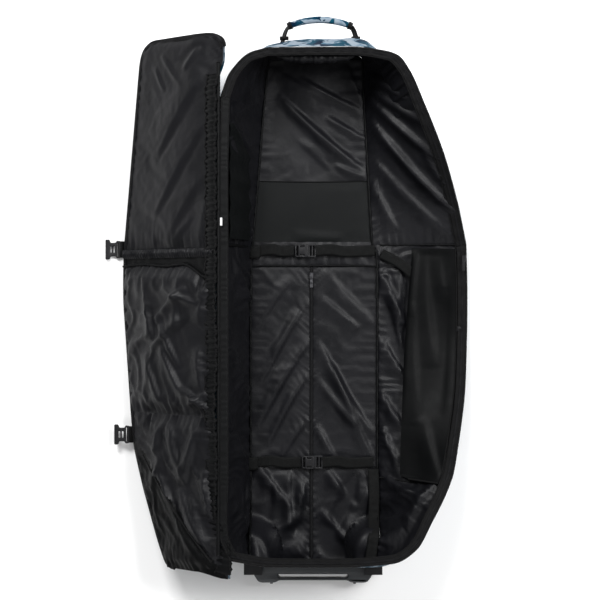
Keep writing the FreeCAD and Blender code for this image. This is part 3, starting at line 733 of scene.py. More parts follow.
def side_of(line):
    """A line up the floor as a function that gives its x at a height up the bag."""
    flat = np.array(sorted((y, x) for x, y in line))
    return lambda y: float(np.interp(y, flat[:, 0], flat[:, 1]))


def lay(name, sheet, material, slot, body=None, blend=None, slack=0.0):
    """Makes a cloth of a sheet and finishes it. One with slack is simulated later."""
    piece = cloth_object(name, sheet)
    if slack:
        to_simulate(piece, slack, sheet)
    return finish_piece(piece, material, slot, body, blend)


def head_lining():
    """The lining over the head half of the back panel, pulled into slanting folds."""
    sheet = Sheet(floor_rows(side_of(LEFT_PIPING), side_of(RIGHT_PIPING), 692, 353))
    sheet.folds((
        ((-100, 590), (150, 372), 13, 15),
        ((-40, 640), (140, 545), 11, 11),
        ((35, 535), (148, 470), 9, 10),
        ((60, 402), (150, 362), 8, 8),
        ((-110, 660), (60, 560), 20, 6),
        ((-60, 470), (40, 380), 18, -5),
        ((90, 680), (143, 560), 10, 6),
    ))
    sheet.lift(3 * waves(sheet.across, sheet.along, 160, 3) * sheet.seam_fade(40))
    sheet.pucker("r", 26, 1.6, 16, 4)
    sheet.pucker("l", 24, 1.2, 14, 5)
    piece = lay("head_lining_cloth", sheet, LINING, "lining", "base", slack=0.005)
    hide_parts("head_lining", "base_board", "base_foam")


def smooth_panel():
    """The coated patch below the head lining, flat, with a hem along its top."""
    sheet = Sheet(floor_rows(side_of(LEFT_PIPING), side_of(RIGHT_PIPING), 354, 186, 8))
    sheet.lift(1.5 * waves(sheet.across, sheet.along, 260, 8) * sheet.seam_fade(30) + 1.0)
    sheet.fold((-60, 210), (90, 196), 16, 3)
    piece = lay("smooth_panel_sheet", sheet, SMOOTH, "smooth_panel", "base")
    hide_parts("smooth_panel")
    hem = spline([(-151, 355, FLOOR + 2.5), (0, 353, FLOOR + 3), (152, 355, FLOOR + 2.5)], 40)
    finish_piece(tube("smooth_panel_hem", hem, 1.3, 8), BINDING, "webbing", "base")


def strap_lining():
    """The lining that shows under the upper strap, down to the pocket's hem."""
    left = side_of([(-168, 190), (-174, 110)])
    right = side_of([(166, 190), (180, 110)])
    sheet = Sheet(floor_rows(left, right, 188, POCKET_TOP - 2))
    sheet.pucker("b", 22, 2.2, 12, 21)
    sheet.pucker("t", 30, 1.2, 10, 22)
    sheet.crumple(60, 4, 23)
    lay("strap_lining", sheet, LINING, "lining", "base", slack=0.012)


# Each fold has its two ends seen from above, its width and its height.
POCKET_FOLDS = {
    "left": [
        ((-15, 30), (-150, -210), 12, 11),
        ((-12, -80), (-160, -330), 15, 14),
        ((-12, -170), (-130, -380), 10, 12),
        ((-60, 90), (-165, -60), 14, 7),
        ((-14, -300), (-90, -415), 10, 8),
        ((-165, -420), (-60, -560), 16, 16),
        ((-70, -450), (-62, -640), 13, 16),
        ((-110, -470), (-125, -600), 12, -12),
        ((-20, -470), (-45, -590), 10, 8),
    ],
    "right": [
        ((8, -90), (165, -360), 13, 12),
        ((8, -190), (120, -330), 11, 10),
        ((50, -150), (160, -420), 16, 12),
        ((10, 40), (130, -60), 18, 7),
        ((8, -320), (60, -420), 10, 9),
        ((30, 100), (165, -40), 22, 5),
        ((40, -450), (120, -560), 13, 13),
        ((130, -460), (60, -640), 14, -12),
        ((20, -560), (100, -650), 12, 12),
    ],
}


def zip_pocket():
    """Two pocket panels either side of a long zip, gathered along it and pulled into slanting folds."""
    for side, inner, outer in (("left", ZIP_X - 3, POCKET_SIDE[0]), ("right", ZIP_X + 3, POCKET_SIDE[1])):
        first, last = sorted((inner, outer))
        sheet = Sheet(floor_rows(lambda _: first, lambda _: last, POCKET_TOP, FLOOR_FOOT))
        sheet.folds(POCKET_FOLDS[side])
        toward, away = ("r", "l") if side == "left" else ("l", "r")
        depth = 2.6 + 3.4 * smooth_step(-sheet.home[..., 1], 60, 480)
        sheet.pucker(toward, 21, depth, 10, 31 if side == "left" else 32, 1.0)
        sheet.pucker(away, 26, 0.7, 12, 33)
        deep = smooth_step(-sheet.home[..., 1], 420, 520)
        sheet.lift(10 * deep * waves(sheet.across, sheet.along, 120, 35) * sheet.seam_fade(20))
        sheet.crumple(95, 2.6 + 2.4 * deep, 36)
        piece = lay(f"zip_pocket_{side}", sheet, LINING, "lining", "base", slack=0.011)
        if side == "left":
            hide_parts("zip_pocket_panels")


def coil_teeth(name, centre, width, step, normal):
    """Zip teeth: small rounded bars across the line, every step millimetres."""
    length = np.linalg.norm(np.diff(centre, axis=0), axis=1).sum()
    line = spline(centre, max(int(length / step), 4), smooth=False)
    run = np.gradient(line, axis=0)
    run = run / np.linalg.norm(run, axis=1, keepdims=True)
    normal = np.broadcast_to(normal, line.shape)
    side = np.cross(run, normal)
    points, faces = [], []
    half_run, half_side, top = 0.34 * step, width / 2, 1.1
    around = ((-1, -1), (1, -1), (1, 1), (-1, 1))
    shape = [(a, b, 0) for a, b in around] + [(0.6 * a, 0.8 * b, 1) for a, b in around]
    quads = ((3, 2, 1, 0), (4, 5, 6, 7), (0, 1, 5, 4), (1, 2, 6, 5), (2, 3, 7, 6), (3, 0, 4, 7))
    for place, forward, out, up in zip(line, run, side, normal):
        first = len(points)
        for a, b, c in shape:
            points.append(place + forward * a * half_run + out * b * half_side + up * c * top)
        faces += [tuple(first + k for k in quad) for quad in quads]
    return mesh_object(name, points, faces)


def floor_zip():
    """The long straight zip down the floor: woven tape, and a coil of teeth down its middle."""
    start = np.array([ZIP_X, POCKET_TOP - 4, FLOOR + 2.5])
    end = np.array([ZIP_X, FLOOR_FOOT + 8, FLOOR + 2.5])
    centre = np.linspace(start, end, int((start[1] - end[1]) / 8))
    tape = ribbon("pocket_zip_tape", centre, 9, 1.0, (-1, 0, 0))
    finish_piece(tape, BINDING, "webbing", "base")
    coil = coil_teeth("pocket_zip_coil", centre + [0, 0, 1.4], 4.4, 3.2, (0.0, 0.0, 1.0))
    finish_piece(coil, BLACK_PLASTIC, "black_plastic", "base")
    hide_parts("zip_pocket_tape")


def floor_piping():
    """Beaded piping down both sides of the floor, and round the pocket's top."""
    for name, line in (("left", LEFT_PIPING), ("right", RIGHT_PIPING)):
        side = POCKET_SIDE[0] if name == "left" else POCKET_SIDE[1]
        near_wheel = [(side, y) for y in (-540, -570, -600, -625, -650, -670)]
        straight = [(side, 120), (side, -200), (side, -450)]
        path = spline(floor_line([*line, *straight, *near_wheel, (side * 0.93, -692)]), 260)
        path[:, 2] += 4 + 0.8 * np.sin(path[:, 1] * TAU / 37)
        bead = tube(f"{name}_floor_piping", path, 3.1 + 0.25 * np.sin(path[:, 1] * TAU / 6.1), 8)
        finish_piece(bead, DULL_LINING, "lining", "base")
    corner = 14
    y = POCKET_TOP
    left, right = POCKET_SIDE
    hem = [
        (left + 2, y - 90, FLOOR + 5),
        (left + 2, y - corner, FLOOR + 5),
        (left + corner, y, FLOOR + 5),
        (ZIP_X, y + 1, FLOOR + 5.5),
        (right - corner, y, FLOOR + 5),
        (right - 2, y - corner, FLOOR + 5),
        (right - 2, y - 90, FLOOR + 5),
    ]
    finish_piece(tube("pocket_hem_piping", spline(hem, 120), 2.4, 8), DULL_LINING, "lining", "base")


# ---------------------------------------------------------------- walls
# Each wall is ruled between pairs of places: one at its seam with the floor, one at its rim.
HEAD_STATIONS = [
    ((-122, 690, FLOOR), (-122, 687, RIM)),
    ((-60, 692, FLOOR), (-60, 688, RIM + 1)),
    ((40, 693, FLOOR), (50, 689, RIM + 1)),
    ((137, 697, FLOOR), (150, 687, 229)),
    ((139, 650, FLOOR), (207, 677, 224)),
    ((142, 580, FLOOR), (248, 640, 212)),
    ((147, 490, FLOOR), (294, 546, 192)),
    ((153, 380, FLOOR), (350, 418, 145)),
    ((159, 270, FLOOR), (394, 285, 82)),
    ((166, 177, FLOOR), (419, 177, 52)),
]
FOOT_STATIONS = [
    HEAD_STATIONS[-1],
    ((180, 90, FLOOR), (422, 60, 48)),
    ((181, -60, FLOOR), (421, -80, 48)),
    ((182, -200, FLOOR), (411, -240, 88)),
    ((182, -330, FLOOR), (389, -370, 136)),
    ((182, -430, FLOOR), (372, -451, 157)),
    (floor_at(182, -510), (345, -509, 185)),
    (floor_at(182, -580), (310, -570, 209)),
    (floor_at(182, -640), (272, -636, 218)),
    (floor_at(166, -694), (226, -668, 222)),
    (floor_at(132, -700), (137, -677, 235)),
    (floor_at(60, -702), (60, -679, RIM)),
    (floor_at(-60, -702), (-60, -679, RIM)),
    (floor_at(-132, -700), (-137, -677, 235)),
    (floor_at(-176, -670), (-220, -662, 238)),
]
# Each of these names the two bodies a wall's soft ends lie between, a place by the first body and a place by
# the second.
HEAD_BLEND = ("right_wall", "base", (421, 172, 0), (170, 690, 0))
FOOT_BLEND = ("right_wall", "base", (400, -300, 0), (180, -690, 0))
LEFT_BLEND = ("base", "left_wall", (0, 0, FLOOR + 8), (0, 0, FLOOR + 110))
CORNER_BLEND = ("base", "left_wall", (-85, 715, 40), (-235, 560, 200))
# Where two walls meet, and the direction toward the inside that both use there.
SHARED_SEAMS = [
    ((-122, 687), (0.20, -0.98, 0.0)),
    ((LEFT_AXIS[0] - 62, 560), (0.98, -0.20, 0.15)),
    ((-220, -662), (0.75, 0.66, 0.0)),
    ((419, 177), (-0.18, 0.0, 0.98)),
]
WALL_COLUMNS = 38
SHELL = 7.0


def toward_inside(pairs, inward):
    """Turns the directions at a wall's two ends to the ones its neighbours share, so the walls meet."""
    share = np.linspace(0, 1, len(inward))
    near = {"first": 1 - smooth_step(share, 0, 0.08), "last": smooth_step(share, 0.92, 1)}
    for end, place in (("first", pairs[0][1]), ("last", pairs[-1][1])):
        for seam, direction in SHARED_SEAMS:
            if np.hypot(place[0] - seam[0], place[1] - seam[1]) < 12:
                weight = near[end][:, None]
                inward = inward * (1 - weight) + np.array(direction) * weight
    return inward / np.linalg.norm(inward, axis=1, keepdims=True)


def wall_rows(pairs, count, columns, swell, lift=0.0, start=0.0, end=1.0):
    """A wall's rows from its seam to its rim, or part of the way, swelling and lifted toward the inside."""
    lows, highs = stations(pairs, count)
    inward = np.cross(highs - lows, np.gradient(lows + highs, axis=0))
    inward = inward / np.maximum(np.linalg.norm(inward, axis=1, keepdims=True), 1e-9)
    if np.sum(inward * (lows + highs) * [1, 1, 0]) > 0:
        inward = -inward
    inward = toward_inside(pairs, inward)
    share = np.linspace(0, 1, columns)[None, :]
    lift = np.broadcast_to(lift, (count,))[:, None, None]
    start = np.broadcast_to(start, (count,))[:, None]
    end = np.broadcast_to(end, (count,))[:, None]
    t = (start * (1 - share) + end * share)[..., None]
    swell = np.broadcast_to(swell, (count,))[:, None, None]
    rows = lows[:, None, :] * (1 - t) + highs[:, None, :] * t
    return rows + inward[:, None, :] * (np.sin(t * math.pi) * swell + lift)


later = []


def lay_later(name, sheet, slack, node, blend):
    """A lining that is simulated first, then finished in parts: it stands for this node."""
    piece = cloth_object(name, sheet)
    to_simulate(piece, slack, sheet)
    later.append((piece, sheet, node, blend))
    return piece


def right_upper_lining():
    """The lining of the fallen wall from its cross seam up to the head, sewn to the floor."""
    sheet = Sheet(wall_rows(HEAD_STATIONS, 150, WALL_COLUMNS, -5))
    sheet.folds((
        ((158, 610), (300, 500), 9, 13),
        ((152, 585), (345, 400), 9, 16),
        ((156, 520), (395, 255), 11, 18),
        ((165, 410), (370, 205), 16, 9),
        ((165, 360), (230, 215), 14, 10),
        ((150, 670), (225, 625), 7, -12),
        ((158, 650), (262, 560), 8, 12),
        ((300, 430), (372, 330), 9, 7),
    ))
    sheet.pucker("r", 15, 4.6, 15, 41, -0.9)
    sheet.pucker("l", 21, 1.6, 12, 42, 0.5)
    sheet.pucker("b", 19, 2.6, 11, 43)
    sheet.crumple(150, 2.5, 44)
    lay_later("right_head_lining", sheet, 0.006, "right_upper_lining", HEAD_BLEND)


def right_lower_lining():
    """The lining of the fallen wall from its cross seam down and round the foot."""
    sheet = Sheet(wall_rows(FOOT_STATIONS, 230, WALL_COLUMNS, -5))
    sheet.folds((
        ((188, 110), (262, -60), 14, 14),
        ((200, 40), (250, -160), 12, -12),
        ((190, -90), (262, -200), 14, 12),
        ((188, -230), (250, -330), 12, 13),
        ((195, -330), (240, -430), 10, 10),
        ((235, 120), (245, -150), 16, 10),
        ((300, 100), (310, -300), 26, -12),
        ((200, -470), (320, -520), 14, 12),
        ((190, -540), (300, -490), 13, 14),
        ((180, -600), (270, -560), 12, 13),
        ((160, -650), (250, -600), 10, 12),
        ((100, -690), (190, -650), 9, 10),
        ((340, -460), (250, -600), 9, 12),
    ))
    sheet.pucker("r", 21, 2.4, 12, 45, 0.7)
    sheet.pucker("l", 24, 2.4, 14, 46)
    sheet.crumple(80, 6, 47)
    lay_later("right_foot_lining", sheet, 0.022, "right_lower_lining", FOOT_BLEND)


def part_of(piece, sheet, keep, name):
    """A copy of the cloth that keeps only the faces with their middle where keep says."""
    mesh = piece.data
    co = vertex_array(mesh) / MM
    uv = np.stack([sheet.across, sheet.along], axis=2).reshape(-1, 2)
    home = sheet.home.reshape(-1, 3)
    faces = [tuple(p.vertices) for p in mesh.polygons]
    chosen = [f for f in faces if keep(home[list(f)].mean(axis=0))]
    used = sorted({k for f in chosen for k in f})
    number = {k: i for i, k in enumerate(used)}
    made = mesh_object(name, co[used], [tuple(number[k] for k in f) for f in chosen], uv[used])
    return shade_smooth(made)


def declare_part(piece):
    """Works out the flat area and width of a cloth of any outline from its pattern, and keeps neither."""
    mesh = piece.data
    spread = np.zeros(len(mesh.loops) * 2)
    mesh.uv_layers[0].data.foreach_get("uv", spread)
    spread = spread.reshape(-1, 2)
    corners = np.array([tuple(p.loop_indices) for p in mesh.polygons])
    a, b, c, d = (spread[corners[:, k]] for k in range(4))
    first, second = c - a, d - b
    area = float(np.abs(first[:, 0] * second[:, 1] - first[:, 1] * second[:, 0]).sum() / 2)
    width, length = np.ptp(spread, axis=0)
    width = min(float(width), 3 * area / float(length))


def outside_fold(place):
    """Whether a place on the fallen wall lies outside the line that the wall folds on."""
    return place[0] >= SEAM_X


def finish_linings():
    """Finishes the settled linings, two of them in parts: the lid's at its hem, the fallen wall's at its fold.

    The strip of the fallen wall inside the fold stays with the back panel when the wall moves.
    """
    for piece, sheet, node, blend in later:
        name = piece.name
        ride = {"body": "lid"} if blend == "lid" else {"blend": blend}
        if blend == "lid":
            strip = part_of(piece, sheet, outside_hem, f"{name}_hem")
            rest = part_of(piece, sheet, lambda place: not outside_hem(place), f"{name}_panel")
            # The strip past the hem gets the lining darkened as painted shade.
            declare_part(finish_piece(strip, PAINTED_SHADE_LINING, "lining", "lid"))
        elif blend[0] == "right_wall":
            strip = part_of(piece, sheet, lambda place: not outside_fold(place), f"{name}_inner")
            rest = part_of(piece, sheet, outside_fold, f"{name}_outer")
            declare_part(finish_piece(strip, LINING, "lining", "base"))
        else:
            rest = piece
        if rest is not piece:
            bpy.data.objects.remove(piece)
        declare_part(finish_piece(rest, LINING, "lining", **ride))
        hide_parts(node)
    later.clear()


def print_skin(name, pairs, count, columns, bulge, nodes, blend, stretch=1.0):
    """The printed outer fabric of a wall, outside its lining. stretch sizes the print up the wall."""
    bulge = np.interp(np.linspace(0, 1, count), np.linspace(0, 1, np.size(bulge)), np.ravel(bulge))
    shell = np.minimum(SHELL, 3 + bulge * 0.8)
    rows = wall_rows(pairs, count, columns, -bulge, -shell)
    sheet = Sheet(rows)
    sheet.lift(1.6 * waves(sheet.across, sheet.along, 120, 61) * sheet.seam_fade(20))
    piece = lay(name, sheet, PRINT, "printed_fabric", blend=blend)
    for corner in piece.data.uv_layers[0].data:
        corner.uv = (corner.uv[0] * stretch, corner.uv[1])
    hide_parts(*nodes)
    return piece


def lowered(pairs):
    """Wall stations whose foot is on the outer edge of the back panel instead of the floor's piping."""
    outer = []
    for (x, y, _), rim in pairs:
        if abs(y) < 640 and x > 100:
            x = SEAM_X
        elif y > 640:
            y += 32
        elif y < -650 and x < -150:
            x, y = x - 10, y - 16
        elif y < -640:
            y -= 11
        outer.append(((x, y, 9 if abs(y) < 640 else 12), rim))
    return outer


def rim_band(name, pairs, count, blend=None, body=None, width=24, teeth=True):
    """The zip tape round the rim: a flat woven band facing up, a line of teeth and a bound outer edge."""
    lows, highs = stations(pairs, count)
    run = np.gradient(highs, axis=0)
    run = run / np.linalg.norm(run, axis=1, keepdims=True)
    slope = lows - highs
    inward = np.column_stack([-run[:, 1], run[:, 0], np.zeros(len(run))])
    inward = np.where(np.sum(inward * highs, axis=1, keepdims=True) > 0, -inward, inward)
    flat_reach = np.hypot(slope[:, 0], slope[:, 1])
    gentle = np.clip(flat_reach / np.maximum(np.abs(slope[:, 2]), 1) - 0.6, 0, 1)
    inward[:, 2] = np.maximum(slope[:, 2] / np.maximum(flat_reach, 1), -0.4) * gentle
    width = np.interp(np.linspace(0, 1, count), np.linspace(0, 1, np.size(width)), np.ravel(width))[:, None]
    inward = inward / np.linalg.norm(inward, axis=1, keepdims=True)
    up = np.cross(run, inward)
    up = np.where(up[:, 2:] < 0, -up, up)
    top = highs + up * 3
    t = np.linspace(0, 1, 7)[None, :, None]
    rows = top[:, None, :] + inward[:, None, :] * (t * (width[:, None, :] + 2) - 2)
    deep, pace, drift = (0.7, 0.7, 1.5) if teeth else (0.45, 0.9, 4)
    shift = drift * np.sin(np.linspace(0, count * 0.11, count))
    uneven = 1 if teeth else 0.2 + 0.8 * np.sin(np.linspace(0, count * 0.13, count) + shift) ** 2
    ripple = deep * uneven * np.sin(np.linspace(0, count * pace, count) + shift)
    ripple = ripple[:, None, None] * up[:, None, :]
    band = thicken(cloth_object(f"{name}_band", Sheet(rows + ripple)), 1.6)
    finish_piece(band, BINDING if teeth else DULL_LINING, "webbing", body, blend)
    edge = tube(f"{name}_edge", top - inward * 2 - up * 1.5, 3.6, 8)
    finish_piece(edge, BINDING, "webbing", body, blend)
    inner = tube(f"{name}_inner_edge", top + inward * (width + 1) - up * 1.0, 1.9, 8)
    finish_piece(inner, BINDING, "webbing", body, blend)
    if teeth:
        coil = coil_teeth(f"{name}_teeth", top + inward * width * 0.38 + up * 1.2, 5.0, 3.4, up_mean(up))
        finish_piece(coil, TEETH, "black_plastic", body, blend)
    return band


def up_mean(up):
    """One direction for a whole band, from the upward directions along it."""
    mean = up.mean(axis=0)
    return mean / np.linalg.norm(mean)


def cross_seam():
    """The seam across the fallen wall where its two linings meet, gathered a little."""
    foot, rim = (np.array(place, float) for place in HEAD_STATIONS[-1])
    t = np.linspace((SEAM_X + 1 - foot[0]) / (rim[0] - foot[0]), 0.97, 80)[:, None]
    path = foot * (1 - t) + rim * t + [0, 0, 2.2] - [0, 0, 5] * np.sin(t * math.pi)
    path[:, 1] += 0.7 * np.sin(t[:, 0] * 90)
    finish_piece(tube("right_cross_seam", path, 2.1, 8), DULL_LINING, "lining", "right_wall")


def wall_pocket():
    """The smooth pocket panel on the fallen wall: a bound hem at its foot, a stitched edge beside the rim."""
    lows, highs = stations(FOOT_STATIONS, 230)
    near = np.interp(highs[:, 1], [-490, -470, -115, 130], [342, 245, 255, 275])
    start = (near - lows[:, 0]) / (highs[:, 0] - lows[:, 0])
    reach = np.linalg.norm(highs - lows, axis=1)
    rows = wall_rows(FOOT_STATIONS, 230, 20, 2, 10, start, 1 - 25 / reach)
    rows = rows[(highs[:, 1] < 171) & (highs[:, 1] > -478)]
    sheet = Sheet(rows)
    sheet.lift(-5 * np.sin(sheet.across / sheet.width * math.pi) * sheet.seam_fade(20, "tb"))
    sheet.folds((
        ((300, 165), (330, -160), 30, 8),
        ((272, 20), (282, -320), 24, 8),
        ((285, 160), (268, -20), 12, 7),
        ((375, 60), (350, -300), 26, -6),
        ((300, -300), (336, -465), 20, 7),
        ((345, 150), (362, 20), 16, 5),
    ))
    # The pocket cloth gets the lining darkened as painted shade.
    piece = lay("right_wall_pocket_cloth", sheet, PAINTED_SHADE_LINING, "lining", blend=FOOT_BLEND)
    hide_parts("right_wall_pocket")
    hem = tube("right_pocket_hem", spline(sheet.rows[-1], 60) + [0, 0, 1.5], 2.6, 8)
    finish_piece(hem, BINDING, "webbing", None, FOOT_BLEND)
    across = wall_rows(FOOT_STATIONS, 230, 30, -3, 3, 0.03, 0.9)
    under_hem = across[int(np.argmin(np.abs(highs[:, 1] + 478)))]
    seam = tube("right_hem_seam", spline(under_hem, 80), 2.0, 8)
    finish_piece(seam, BINDING, "webbing", None, FOOT_BLEND)
    edge = tube("right_pocket_edge", spline(sheet.rows[:, -1], 160) + [0, 0, 0.5], 1.6, 8)
    finish_piece(edge, BINDING, "webbing", None, FOOT_BLEND)


def right_wall():
    """The fallen wall: its linings, its pocket, its printed outside and the rim's zip."""
    right_upper_lining()
    right_lower_lining()
    cross_seam()
    wall_pocket()
    bulges = [5, 17, 19, 19, 17, 8, 8, 7, 6, 8, 10, 12, 13, 14, 14, 14]
    nodes = ["head_end_panel", "head_gussets"]
    skin = print_skin("head_print", lowered(HEAD_STATIONS), 120, 22, bulges, nodes, HEAD_BLEND, stretch=0.45)
    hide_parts("right_wall_fabric")
    bulges = [14, 12, 9, 7, 7, 7, 5, 3, 1, 0, 1]
    nodes = ["foot_end_panel", "foot_gussets"]
    print_skin("foot_print", lowered(FOOT_STATIONS), 160, 22, bulges, nodes, FOOT_BLEND)
    widths = [14, 14, 14, 15, 19, 22, 24, 24, 24, 24]
    band = rim_band("head_rim", HEAD_STATIONS, 220, HEAD_BLEND, None, widths)
    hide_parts("rim_zip_tape", "rim_zip_coil")
    widths = [24, 24, 24, 24, 24, 22, 18, 16, 16, 16, 18]
    rim_band("foot_rim", FOOT_STATIONS, 260, FOOT_BLEND, None, widths)


def head_roll():
    """The ruched roll of lining under the head rim."""
    x = np.linspace(-102, 112, 150)
    gather = 0.7 * np.sin(x * TAU / 17 + 1.3 * np.sin(x * TAU / 53)) + 1.3 * np.sin(x * TAU / 41)
    ends = np.clip(np.sin(np.linspace(0, math.pi, 150)), 0, 1) ** 0.35
    turn = np.linspace(-0.35 * math.pi, 0.75 * math.pi, 12)[None, :]
    radius = ((14 + gather) * ends)[:, None]
    rows = np.zeros((150, 12, 3))
    rows[..., 0] = x[:, None]
    rows[..., 1] = 670 - radius * np.cos(turn) + 10 * (1 - ends[:, None])
    rows[..., 2] = RIM - 32 + radius * np.sin(turn)
    sheet = Sheet(rows)
    lay("head_lining_roll", sheet, LINING, "lining", "base")


def corner_bunch():
    """The deep bunched folds in the corner beside the roll."""
    lows, highs = stations(HEAD_STATIONS[3:7], 90)
    share = np.linspace(1, 0.52, 24)[None, :, None]
    rows = lows[:, None, :] * (1 - share) + highs[:, None, :] * share
    middle = np.linspace(0, 1, 90)[:, None]
    pleats = np.sin(middle * TAU * 6.4 + 3.4 * share[..., 0] + 0.9 * np.sin(middle * 17))
    fade = np.sin(middle * math.pi) ** 0.6 * np.sin(np.linspace(0, math.pi, 24))[None, :] ** 0.7
    toward = np.array([-0.45, -0.75, 0.5])
    rows = rows + toward * ((7 + 4 * pleats) * fade)[..., None]
    lay("corner_bunch", Sheet(rows), LINING, "lining", blend=HEAD_BLEND)


# ---------------------------------------------------------------- left wall
LEFT_RIM_X = HINGE[0] + 7
LEFT_STATIONS = [
    ((-138, 560, FLOOR), (LEFT_RIM_X + 4, 560, HINGE[2] - 8)),
    ((-151, 380, FLOOR), (LEFT_RIM_X, 390, HINGE[2] - 5)),
    ((-168, 178, FLOOR), (LEFT_RIM_X, 178, HINGE[2] - 5)),
    ((-174, 80, FLOOR), (LEFT_RIM_X, 60, HINGE[2] - 5)),
    ((-175, -200, FLOOR), (LEFT_RIM_X, -200, HINGE[2] - 5)),
    ((-175, -450, FLOOR), (LEFT_RIM_X, -450, HINGE[2] - 5)),
    (floor_at(-175, -600), (LEFT_RIM_X + 2, -610, HINGE[2] - 5)),
    (floor_at(-176, -670), (-220, -662, 238)),
]
CORNER_STATIONS = [
    ((-122, 690, FLOOR), (-122, 687, RIM)),
    ((-127, 655, FLOOR), (-172, 672, RIM)),
    ((-132, 610, FLOOR), (-214, 628, RIM + 2)),
    LEFT_STATIONS[0],
]


def left_wall():
    """The wall under the lid's hinge: two linings with a cross seam, a flat pocket, and the print outside."""
    sheet = Sheet(wall_rows(LEFT_STATIONS, 190, 34, -5))
    sheet.lift(-3.5 * np.exp(-(((sheet.home[..., 1] - CROSS_SEAM) / 7) ** 2)) * sheet.seam_fade(6, "lr"))
    sheet.pucker("r", 19, 3.0, 16, 71, 0.5)
    sheet.pucker("l", 23, 1.6, 12, 72)
    sheet.crumple(110, 7, 73)
    sheet.folds((
        ((-225, 520), (-165, 420), 9, 9),
        ((-232, 470), (-190, 330), 8, 8),
        ((-225, 300), (-180, 200), 9, 8),
        ((-222, 150), (-180, 20), 8, 8),
        ((-222, -100), (-185, -260), 8, 8),
        ((-222, -300), (-188, -480), 8, 9),
        ((-220, -520), (-182, -620), 8, 9),
    ))
    piece = lay_later("left_wall_lining", sheet, 0.02, "left_upper_lining", LEFT_BLEND)
    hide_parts("left_upper_lining", "left_lower_lining")

    sheet = Sheet(wall_rows(CORNER_STATIONS, 46, 34, -5))
    sheet.pucker("r", 17, 3.0, 14, 75)
    sheet.crumple(70, 7, 76)
    lay_later("left_head_corner_lining", sheet, 0.02, "left_upper_lining", CORNER_BLEND)

    bulges = [14, 14, 14, 14, 14, 12, 1]
    print_skin("left_print", left_outer(LEFT_STATIONS), 120, 18, bulges, ["left_wall_fabric"], LEFT_BLEND)
    bulges = [5, 4, 10, 14]
    print_skin("left_corner_print", left_outer(CORNER_STATIONS), 40, 18, bulges, [], CORNER_BLEND)
    rim_band("left_rim", LEFT_STATIONS, 420, None, "left_wall", 17, False)
    rim_band("left_corner_rim", CORNER_STATIONS, 60, CORNER_BLEND, None, [14, 15, 16, 17])
    left_pocket()


def left_outer(pairs):
    """Left wall stations whose foot is on the outer edge of the back panel."""
    outer = []
    for (x, y, _), rim in pairs:
        if y > 680:
            place = (x, y + 32, 12)
        elif y < -650:
            place = (x - 10, y - 16, 12)
        else:
            place = (-SEAM_X if abs(y) < 600 else x - 26, y + (20 if y > 600 else 0), 9)
        outer.append((place, rim))
    return outer


def left_point(up, y, lift=0.0):
    """A place on the left wall: this far up from its seam, lifted inward."""
    lean = math.radians(15.7)
    rise = np.array([-math.sin(lean), 0, math.cos(lean)])
    inward = np.array([math.cos(lean), 0, math.sin(lean)])
    return LEFT_AXIS * [1, 0, 1] + np.array([0, y, 0]) + rise * up + inward * lift


def left_pocket():
    """A flat pocket on the upper left wall, piped along its foot and round its curved head end."""
    m, n = 60, 24
    rows = np.zeros((m, n, 3))
    for i, y in enumerate(np.linspace(494, 188, m)):
        bottom = 24 + 168 * smooth_step(y, 425, 500) ** 1.6
        for j, up in enumerate(np.linspace(bottom, 212, n)):
            rows[i, j] = left_point(up, y, 21 + 1.5 * math.sin(i * 0.5) + 5 * math.sin(j / (n - 1) * math.pi))
    sheet = Sheet(rows)
    sheet.crumple(90, 3, 79)
    piece = lay("left_pocket_cloth", sheet, SMOOTH, "lining", "left_wall")
    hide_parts("left_wall_pocket")
    edge = spline(sheet.rows[:, 0, :], 90, smooth=False)
    finish_piece(tube("left_pocket_piping", edge, 2.6, 8), LINING, "lining", "left_wall")
    seam = np.array([left_point(up, CROSS_SEAM, 12) for up in np.linspace(30, 225, 60)])
    finish_piece(tube("left_cross_seam", seam, 3.4, 8), DULL_LINING, "lining", "left_wall")


# ---------------------------------------------------------------- lid
LID_EDGE = [
    (LID_FOOT, 190),
    (-634, 225),
    (-491, 284),
    (-382, 321),
    (-286, 333),
    (-60, 355.5),
    (20, 363.5),
    (106, 363.5),
    (167, 360.5),
    (680, 297),
    (712, 285),
    (726, 270),
    (LID_HEAD, 250),
]
LID_NEAR = [(LID_FOOT, 9), (700, 9), (716, 14), (727, 24), (LID_HEAD, 40)]
LID_UPPER_SEAM = high("lid_middle_lining")[1]
LID_LOWER_SEAM = low("lid_middle_lining")[1]
LID_BAND_TOP = LID_UPPER_SEAM + 57
LID_HALF = 4.0


def lid_point(out, y, lift):
    """A place on the open lid: this far out from the hinge, lifted towards the lining's side."""
    place = HINGE * [1, 0, 1] + LID_OUT * np.asarray(out)[..., None] + LID_UP * np.asarray(lift)[..., None]
    place[..., 1] += y
    return place


def lid_rows(head, foot, step=6.5, lift=LID_HALF):
    """A grid over the open lid, from beside its hinge out to its free edge."""
    m = max(int((head - foot) / step) + 1, 4)
    y = np.linspace(head, foot, m)
    x0, x1 = (np.interp(y, *np.array(line).T) for line in (LID_NEAR, LID_EDGE))
    n = int((x1 - x0).max() / step) + 1
    t = np.linspace(0, 1, n)[None, :]
    out = x0[:, None] * (1 - t) + x1[:, None] * t
    yy = np.broadcast_to(y[:, None], out.shape)
    return lid_droop(lid_point(out, yy, np.full(out.shape, lift)), out)


def lid_droop(place, out):
    """The lid's two corners past the ends of the hinge hang over it: the cloth slips sideways and sags."""
    y = place[..., 1]
    head = smooth_step(y, 585, 665)
    foot = smooth_step(-y, 520, 650)
    near = 1 - smooth_step(out, 0, 95)
    moved = place.copy()
    moved[..., 0] += near * (22 * head + 36 * foot)
    moved[..., 2] -= near * (5 * head + 12 * foot)
    moved[..., 1] -= (1 - smooth_step(out, 20, 80)) * smooth_step(-y, 640, 700) * 14
    return moved


